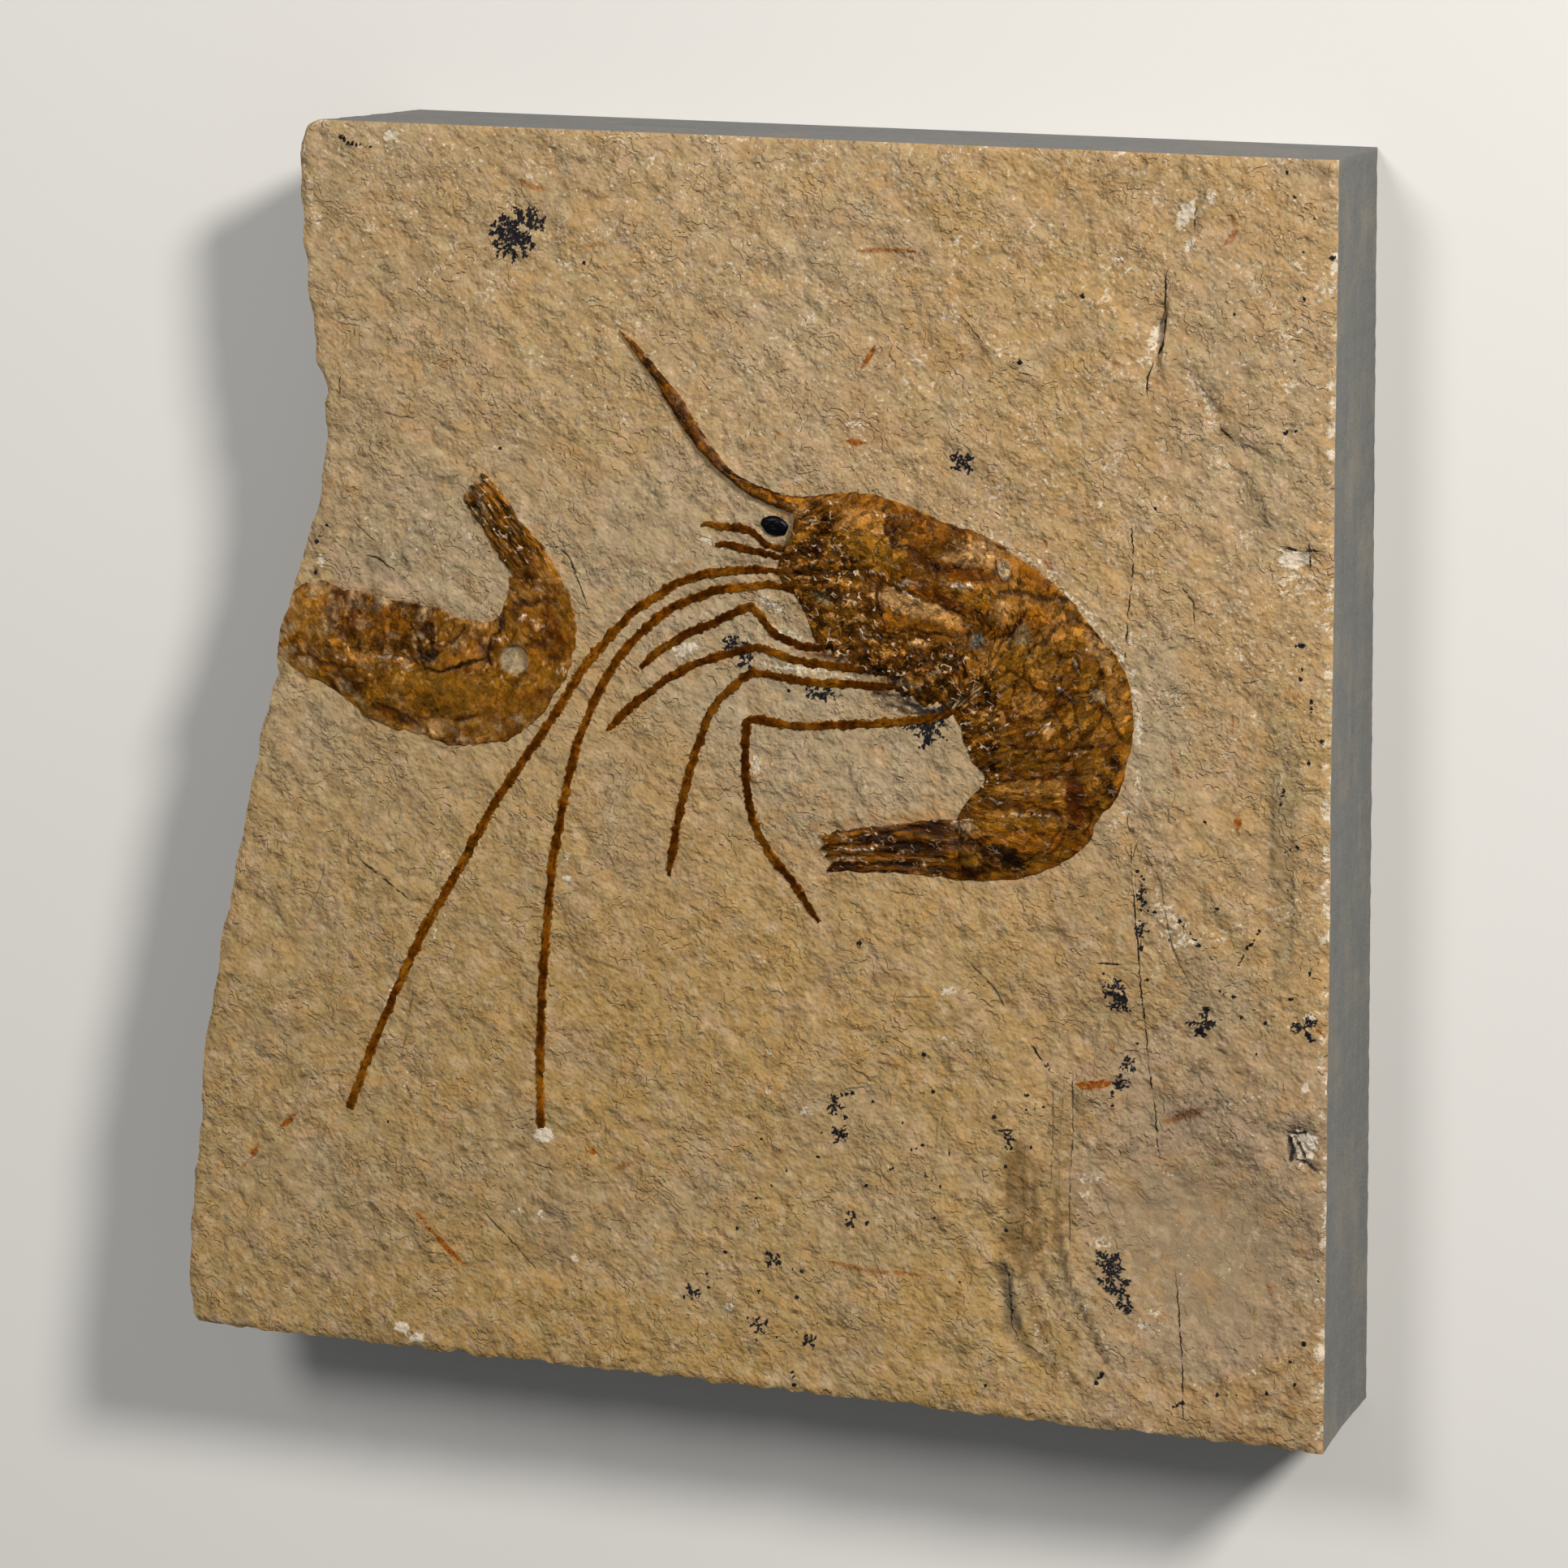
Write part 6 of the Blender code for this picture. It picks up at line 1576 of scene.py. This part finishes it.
def split_limestone():
    """The natural face: mottled grain, thin scaly layers with painted shade along their scarps, chalky chips, black
    cracks and growths, painted shadow lines along small steps, and rust.
    """
    f = Finish("split_limestone", Specular_IOR_Level=0.2)
    grains = f.noise(1.1, 4, 0.64)
    fine = f.noise(0.34, 3, 0.62, offset=7)
    small, small_tone, _ = f.facets(0.7)
    layers = f.times(f.noise(6, 4, 0.62, stretch=(1.2, 1, 1), turn=-30, offset=5), 14)
    part = f.maths("FRACT", layers)
    scarp = f.plus(f.minus(layers, part), f.rise(part, 0, 0.22))
    broken = f.rise(f.noise(3.4, 2, 0.6, offset=15), 0.44, 0.62)
    scaly = f.times_plus(f.minus(scarp, layers), broken, f.times(layers, 0.7))
    edges = f.times(f.rise(part, 0, 0.1, 1, 0), f.times(broken, 0.34))
    colour = f.attribute("paint").outputs["Color"]
    clean = f.rise(f.node("RGBToBW", {0: colour}).outputs[0], 0.08, 0.2, 0, 0.36)
    for offset, size, tone in ((3, 2.8, rgb(196, 164, 134)), (23, 2, rgb(170, 154, 110)),
                               (31, 3.4, rgb(184, 140, 84)), (37, 1.3, rgb(194, 174, 142))):
        patch = f.rise(f.noise(size, 3, 0.62, offset=offset), 0.5, 0.68)
        colour = f.blend(f.times(patch, clean), colour, tone)
    colour = f.tinted(colour, grains, 0.9, 1.1)
    colour = f.tinted(colour, small_tone, 0.96, 1.04)
    colour = f.tinted(colour, fine, 0.92, 1.08)
    # Painted shade along the scarps of the thin layers.
    colour = f.blend(edges, colour, SHADE)
    colour = f.blend(f.rise(fine, 0.36, 0.26, 0, 0.35), colour, SHADE)
    colour = f.blend(f.rise(f.noise(0.7, 2, offset=11), 0.7, 0.78, 0, 0.4), colour, RUST)
    chips = f.times_plus(f.noise(0.5, 4, 0.7, offset=41), 1.5, f.attribute("paint").outputs["Alpha"])
    chips = f.times_plus(fine, 0.5, chips)
    chips = f.rise(chips, 1.33, 1.52)
    colour = f.blend(f.times(chips, 0.7), colour, CHALK)
    wander = f.noise(0.8, 3, 0.6, offset=13)
    rust = f.line_mark("rust", wander, 0.35, 0.14)
    rust = f.times(rust, f.rise(f.noise(0.6, 3), 0.35, 0.55, 0.5, 1.2))
    colour = f.blend(rust, colour, RUST)
    colour = f.blend(f.times(rust, f.rise(fine, 0.52, 0.62, 0, 0.8)), colour, rgb(112, 40, 2))
    # Dark lines: hairline cracks, and painted shadow lines along the small steps.
    dark_line = f.line_mark("dark_line", wander, 0.5, 0.05)
    dark_line = f.times(dark_line, f.rise(f.noise(1.6, 3, 0.6, offset=17), 0.38, 0.5, 0.25, 1.15))
    dark_line = f.rise(dark_line, 0, 0.82)
    colour = f.blend(dark_line, colour, rgb(38, 30, 24))
    speck = f.node("SeparateXYZ", {0: f.attribute("speck").outputs["Vector"]}).outputs
    flat = f.node("CombineXYZ", {0: speck[0], 1: speck[1]}).outputs[0]
    reach = f.node("VectorMath", {0: flat}, operation="LENGTH").outputs["Value"]
    ragged = f.noise(0.25, 1, offset=19)
    reach = f.times_plus(ragged, 0.5, f.minus(reach, 0.25))
    colour = f.blend(f.rise(f.minus(speck[2], reach), -0.02, 0.05), colour, INK)
    near, calm, _ = f.node("SeparateXYZ", {0: f.attribute("growth").outputs["Vector"]}).outputs
    growth = f.rise(f.times_plus(ragged, 0.3, f.minus(near, 0.15)), 0.03, -0.05)
    colour = f.blend(growth, colour, INK)
    lumps = f.noise(3, 3, 0.6, stretch=(1.15, 1, 1), turn=-35, offset=27)
    height = 0
    for layer, amount in ((grains, 0.36), (fine, 0.06), (small, 0.22)):
        height = f.times_plus(layer, amount, height)
    height = f.times(height, f.rise(f.noise(7, 2, 0.6, offset=33), 0.38, 0.6, 0.3, 1.2))
    for layer, amount in ((scaly, 0.14), (lumps, 0.85)):
        height = f.times_plus(layer, amount, height)
    height = f.times(height, f.times_plus(calm, -0.7, 1))
    return f.finish(colour, f.rise(grains, 0.3, 0.7, 0.74, 0.92), height)


def sawn_limestone():
    """Sawn sides and back: grey, with faint beds, fine saw lines and a few pores."""
    f = Finish("sawn_limestone", Specular_IOR_Level=0.25)
    beds = f.noise(1.6, 4, 0.6, stretch=(14, 14, 1))
    lines = f.noise(0.35, 3, 0.6, stretch=(30, 30, 1), offset=2)
    cloud = f.noise(5, 4, 0.6, stretch=(1.6, 1.6, 1), offset=4)
    fine = f.noise(0.35, 4, 0.65)
    coarse = f.noise(1.1, 3, 0.6, offset=6)
    colour = f.attribute("paint").outputs["Color"]
    for layer, share in ((beds, 0.09), (lines, 0.05), (cloud, 0.12), (coarse, 0.08), (fine, 0.12)):
        colour = f.tinted(colour, layer, 1 - share, 1 + share)
    colour = f.blend(f.rise(cloud, 0.46, 0.7, 0, 0.45), colour, rgb(128, 120, 104))
    colour = f.blend(f.rise(f.noise(0.45, 1, offset=9), 0.68, 0.74, 0, 0.5), colour, SHADE)
    height = f.times_plus(lines, 0.05, f.times_plus(fine, 0.1, f.times(coarse, 0.12)))
    return f.finish(colour, f.rise(cloud, 0.3, 0.7, 0.65, 0.85), height)


def shell_finish(name, varnish, roughness, crinkle):
    """Brown shell under a thin clear film, broken into flat leaning plates with dark creases between them, and with
    painted glints.
    """
    f = Finish(name, Specular_IOR_Level=0, Coat_Weight=varnish, Coat_Roughness=0.07, Coat_IOR=1.42)
    film = f.node("SeparateXYZ", {0: f.attribute("film").outputs["Vector"]}).outputs
    body = f.attribute("body").outputs["Vector"]
    crumpled = film[1]
    fine = f.noise(0.34, 3, 0.68)
    grit = f.noise(0.16, 1, 0.5, offset=5)
    broad, broad_tone, broad_rim = f.facets(1.2, body)
    small, small_tone, small_rim = f.facets(0.5, body)
    patchy = f.rise(f.noise(1.3, 2, offset=21), 0.42, 0.58)
    crease = f.times(f.rise(small_rim, 0.03, 0.2, 0.8, 0), f.rise(crumpled, 0.1, 0.6))
    crease = f.maths("MAXIMUM", f.times(f.rise(broad_rim, 0.02, 0.1, 0.8, 0), f.rise(crumpled, 0.05, 0.45)), crease)
    crease = f.times(crease, patchy)
    fold = f.noise(1.2, 2, 0.4, offset=51, place=body)
    often = f.times(f.rise(f.noise(1.7, 3, 0.6, offset=57), 0.46, 0.56), f.rise(crumpled, 0, 0.5, 0.3, 1))
    shut = f.times(f.rise(f.maths("ABSOLUTE", f.minus(fold, 0.54)), 0.03, 0.01), often)
    crease = f.maths("MAXIMUM", crease, shut)
    seldom = f.times(f.rise(f.noise(1, 1, offset=61), 0.55, 0.6), f.rise(crumpled, 0.2, 0.7))
    lit = f.noise(1, 2, 0.4, stretch=(1.8, 1, 1), turn=-28, offset=67)
    lit = f.times(f.rise(f.maths("ABSOLUTE", f.minus(lit, 0.5)), 0.03, 0.01), seldom)
    colour = f.attribute("paint").outputs["Color"]
    share = f.times_plus(f.minus(broad_tone, 0.5), f.times_plus(crumpled, 1, 0.45), 0.5)
    colour = f.tinted(colour, share, 0.8, 1.2)
    uneven = f.minus(small_tone, 0.5)
    uneven = f.times_plus(uneven, f.times_plus(crumpled, 0.8, 0.25), 0.5)
    colour = f.tinted(colour, uneven, 0.5, 1.5)
    colour = f.tinted(colour, fine, 0.68, 1.32)
    colour = f.tinted(colour, grit, 0.84, 1.16)
    colour = f.blend(f.times(crease, 0.85), colour, BLACK)
    # Painted glints: pale sparkles on the brightest chips, and thin lit lines along the folds.
    sparkle_glint = f.times(f.rise(uneven, 0.8, 0.95), f.rise(fine, 0.5, 0.6, 0, 0.6))
    colour = f.blend(sparkle_glint, colour, PAINTED_SPARKLE)
    colour = f.blend(f.times(lit, 0.75), colour, rgb(224, 196, 160))
    dull = f.times_plus(film[0], -0.2, f.rise(fine, 0.3, 0.7, roughness + 0.15, roughness + 0.35))
    height = f.times(small, f.times_plus(crumpled, 1, 0.15))
    for layer, amount in ((broad, 0.3), (fine, 0.11)):
        height = f.times_plus(layer, amount, height)
    return f.finish(colour, dull, f.times(height, crinkle))


def eye_finish():
    """Black, hardly glossy, with fine pits."""
    f = Finish("eye_black", Specular_IOR_Level=0.15)
    fine = f.noise(0.3, 3, 0.6)
    colour = f.tinted(f.attribute("paint").outputs["Color"], fine, 0.6, 1.4)
    return f.finish(colour, f.rise(fine, 0.3, 0.7, 0.25, 0.4), fine, 0.00006)


def plain_finish(name, colour, roughness):
    f = Finish(name)
    cloud = f.noise(90, 2)
    tone = f.node("RGB", {})
    tone.outputs[0].default_value = (*colour, 1.0)
    return f.finish(f.tinted(tone.outputs[0], cloud, 0.985, 1.015), roughness, cloud, 0.00001)


# What a user can change


class StoneSettings(bpy.types.PropertyGroup):
    spacing: FloatProperty(
        name="Face spacing", description="Distance between points of the split face, in millimetres",
        default=FACE_SPACING, min=0.4, max=3.0)


class FossilSettings(bpy.types.PropertyGroup):
    spacing: FloatProperty(
        name="Shell spacing", description="Distance between points of the shells, in millimetres",
        default=0.16, min=0.1, max=1.0)
    varnish: FloatProperty(
        name="Varnish", description="Strength of the clear film over the shells",
        default=0.26, min=0.0, max=1.0, subtype="FACTOR")


class StageSettings(bpy.types.PropertyGroup):
    floor_colour: FloatVectorProperty(
        name="Floor colour", description="Colour of the plain floor",
        default=rgb(226, 224, 220), min=0.0, max=1.0, size=3, subtype="COLOR")
    key_power: FloatProperty(
        name="Key light", description="Power of the light from the upper right, in watts",
        default=8.8, min=0.0, unit="POWER")
    fill_power: FloatProperty(
        name="Fill light", description="Power of the soft light from above, in watts",
        default=3.4, min=0.0, unit="POWER")


def settle(piece, nodes):
    """Fixes a piece to the object in the place of its plain solids."""
    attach(piece, "root")
    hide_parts(*nodes)


def coarser(spacing):
    return spacing * 1


class FOSSIL_OT_stone(bpy.types.Operator):
    """Make the slab of limestone"""
    bl_idname = "fossil.stone"
    bl_label = "Stone"

    def execute(self, context):
        spacing = coarser(context.scene.fossil_stone.spacing)
        piece = make_stone(spacing, [split_limestone(), sawn_limestone()])
        settle(piece, ["limestone_slab"])
        return {"FINISHED"}


class FOSSIL_OT_shells(bpy.types.Operator):
    """Make the pressed shells and tail fans of both shrimps"""
    bl_idname = "fossil.shells"
    bl_label = "Shells"

    def execute(self, context):
        settings = context.scene.fossil_body
        spacing = coarser(settings.spacing)
        shell = shell_finish("varnished_shell", settings.varnish, 0.35, 1)
        fan = shell_finish("varnished_fan", settings.varnish, 0.35, 0.8)
        for name in SHELLS:
            is_fan = name.endswith("fan")
            piece = make_shell(name, spacing, fan if is_fan else shell)
            settle(piece, [name])
        return {"FINISHED"}


class FOSSIL_OT_limbs(bpy.types.Operator):
    """Make the long antennae, the short ones and the walking legs"""
    bl_idname = "fossil.limbs"
    bl_label = "Limbs"

    def execute(self, context):
        settings = context.scene.fossil_body
        finish = shell_finish("rusty_limb", 0.2 * settings.varnish, 0.5, 0.4)
        limbs = [(f"long_antenna_{n}", path, ANTENNA_WIDTH, "start", 0) for n, path in enumerate(LONG_ANTENNAE, 1)]
        limbs += [(f"antennule_{n}", path, ANTENNULE_WIDTH, "end", 0.7) for n, path in enumerate(ANTENNULES, 1)]
        limbs += [(f"walking_leg_{n}", path, LIMB_WIDTH, "end", 0.7) for n, path in enumerate(WALKING_LEGS, 1)]
        spacing = coarser(0.8 * settings.spacing)
        for count, (name, path, width, body_end, depth) in enumerate(limbs):
            piece = make_limb(name, path, width, spacing, finish, 300 + 20 * count, body_end, depth)
            settle(piece, [name])
        return {"FINISHED"}


class FOSSIL_OT_eye(bpy.types.Operator):
    """Make the black eye"""
    bl_idname = "fossil.eye"
    bl_label = "Eye"

    def execute(self, context):
        settle(make_eye(eye_finish()), ["eye"])
        return {"FINISHED"}


def face_axes():
    """The slab's face as axes: its right, its up and its outward direction."""
    lean = math.atan(TAPER)
    return (Vector((1, 0, 0)), Vector((0, math.cos(lean), -math.sin(lean))),
            Vector((0, math.sin(lean), math.cos(lean))))


def add_light(name, place, aim, size, power, colour=(1, 1, 1)):
    data = bpy.data.lights.new(name, "AREA")
    data.shape = "DISK"
    data.size = size
    data.energy = power
    data.color = colour
    light = bpy.data.objects.new(name, data)
    light.location = place
    light.rotation_euler = (Vector(aim) - Vector(place)).to_track_quat("-Z", "Y").to_euler()
    bpy.context.scene.collection.objects.link(light)


class FOSSIL_OT_stage(bpy.types.Operator):
    """Make the floor, the lights and the camera"""
    bl_idname = "fossil.stage"
    bl_label = "Stage"

    def execute(self, context):
        scene = context.scene
        settings = scene.fossil_stage
        mesh = bpy.data.meshes.new("floor")
        reach = 2
        mesh.from_pydata([(-reach, -reach, 0), (reach, -reach, 0), (reach, reach, 0), (-reach, reach, 0)],
                         [], [(0, 1, 2, 3)])
        mesh.materials.append(plain_finish("pale_floor", tuple(settings.floor_colour), 0.85))
        floor = bpy.data.objects.new("floor", mesh)
        scene.collection.objects.link(floor)

        world = bpy.data.worlds.new("soft_room")
        world.use_nodes = True
        sky = world.node_tree.nodes["Background"]
        sky.inputs["Color"].default_value = (0.92, 0.96, 1.0, 1.0)
        sky.inputs["Strength"].default_value = 0.14
        scene.world = world
        add_light("key", (0.62, 0.5, 0.5), (0, 0, 0), 0.16, settings.key_power, (1, 0.97, 0.92))
        add_light("fill", (-0.25, 0.5, 0.8), (0, 0, 0), 0.3, settings.fill_power, (1, 0.98, 0.96))

        right, up, out = face_axes()
        target = Vector(((4.2 - FACE_CENTRE[0]), (-0.7 - FACE_CENTRE[1]), plane(-0.7)))
        place = target + 206.27 * right + 111.81 * up + 552.22 * out
        camera_right = 0.93606 * right + 0.01013 * up - 0.35169 * out
        camera_up = -0.07486 * right + 0.98243 * up - 0.17096 * out
        camera_back = 0.34378 * right + 0.18635 * up + 0.92037 * out
        data = bpy.data.cameras.new("camera")
        data.sensor_width = 36
        data.lens = 136.73
        data.clip_start = 0.01
        camera = bpy.data.objects.new("camera", data)
        axes = Matrix((camera_right, camera_up, camera_back)).transposed()
        camera.matrix_world = Matrix.LocRotScale(place * MM, axes.to_quaternion(), None)
        scene.collection.objects.link(camera)
        scene.camera = camera
        scene.view_settings.view_transform = "Standard"
        return {"FINISHED"}


class FOSSIL_PT_panel(bpy.types.Panel):
    """Lists what this makes"""
    bl_label = "Fossil shrimps"
    bl_idname = "FOSSIL_PT_panel"
    bl_space_type = "VIEW_3D"
    bl_region_type = "UI"
    bl_category = "Fossil"

    def draw(self, context):
        for group, names in (("fossil_stone", ("spacing",)), ("fossil_body", ("spacing", "varnish")),
                             ("fossil_stage", ("floor_colour", "key_power", "fill_power"))):
            for name in names:
                self.layout.prop(getattr(context.scene, group), name)
        for operator in OPERATORS:
            self.layout.operator(operator.bl_idname)


OPERATORS = (FOSSIL_OT_stone, FOSSIL_OT_shells, FOSSIL_OT_limbs, FOSSIL_OT_eye, FOSSIL_OT_stage)
GROUPS = {"fossil_stone": StoneSettings, "fossil_body": FossilSettings, "fossil_stage": StageSettings}


def register():
    for group in (*GROUPS.values(), *OPERATORS, FOSSIL_PT_panel):
        bpy.utils.register_class(group)
    for name, group in GROUPS.items():
        setattr(bpy.types.Scene, name, PointerProperty(type=group))


def unregister():
    for name in GROUPS:
        delattr(bpy.types.Scene, name)
    for group in (FOSSIL_PT_panel, *reversed(OPERATORS), *reversed(list(GROUPS.values()))):
        bpy.utils.unregister_class(group)


def main():
    register()
    bpy.ops.fossil.stage()
    bpy.ops.fossil.stone()
    bpy.ops.fossil.shells()
    bpy.ops.fossil.limbs()
    bpy.ops.fossil.eye()


if __name__ == "__main__":
    main()
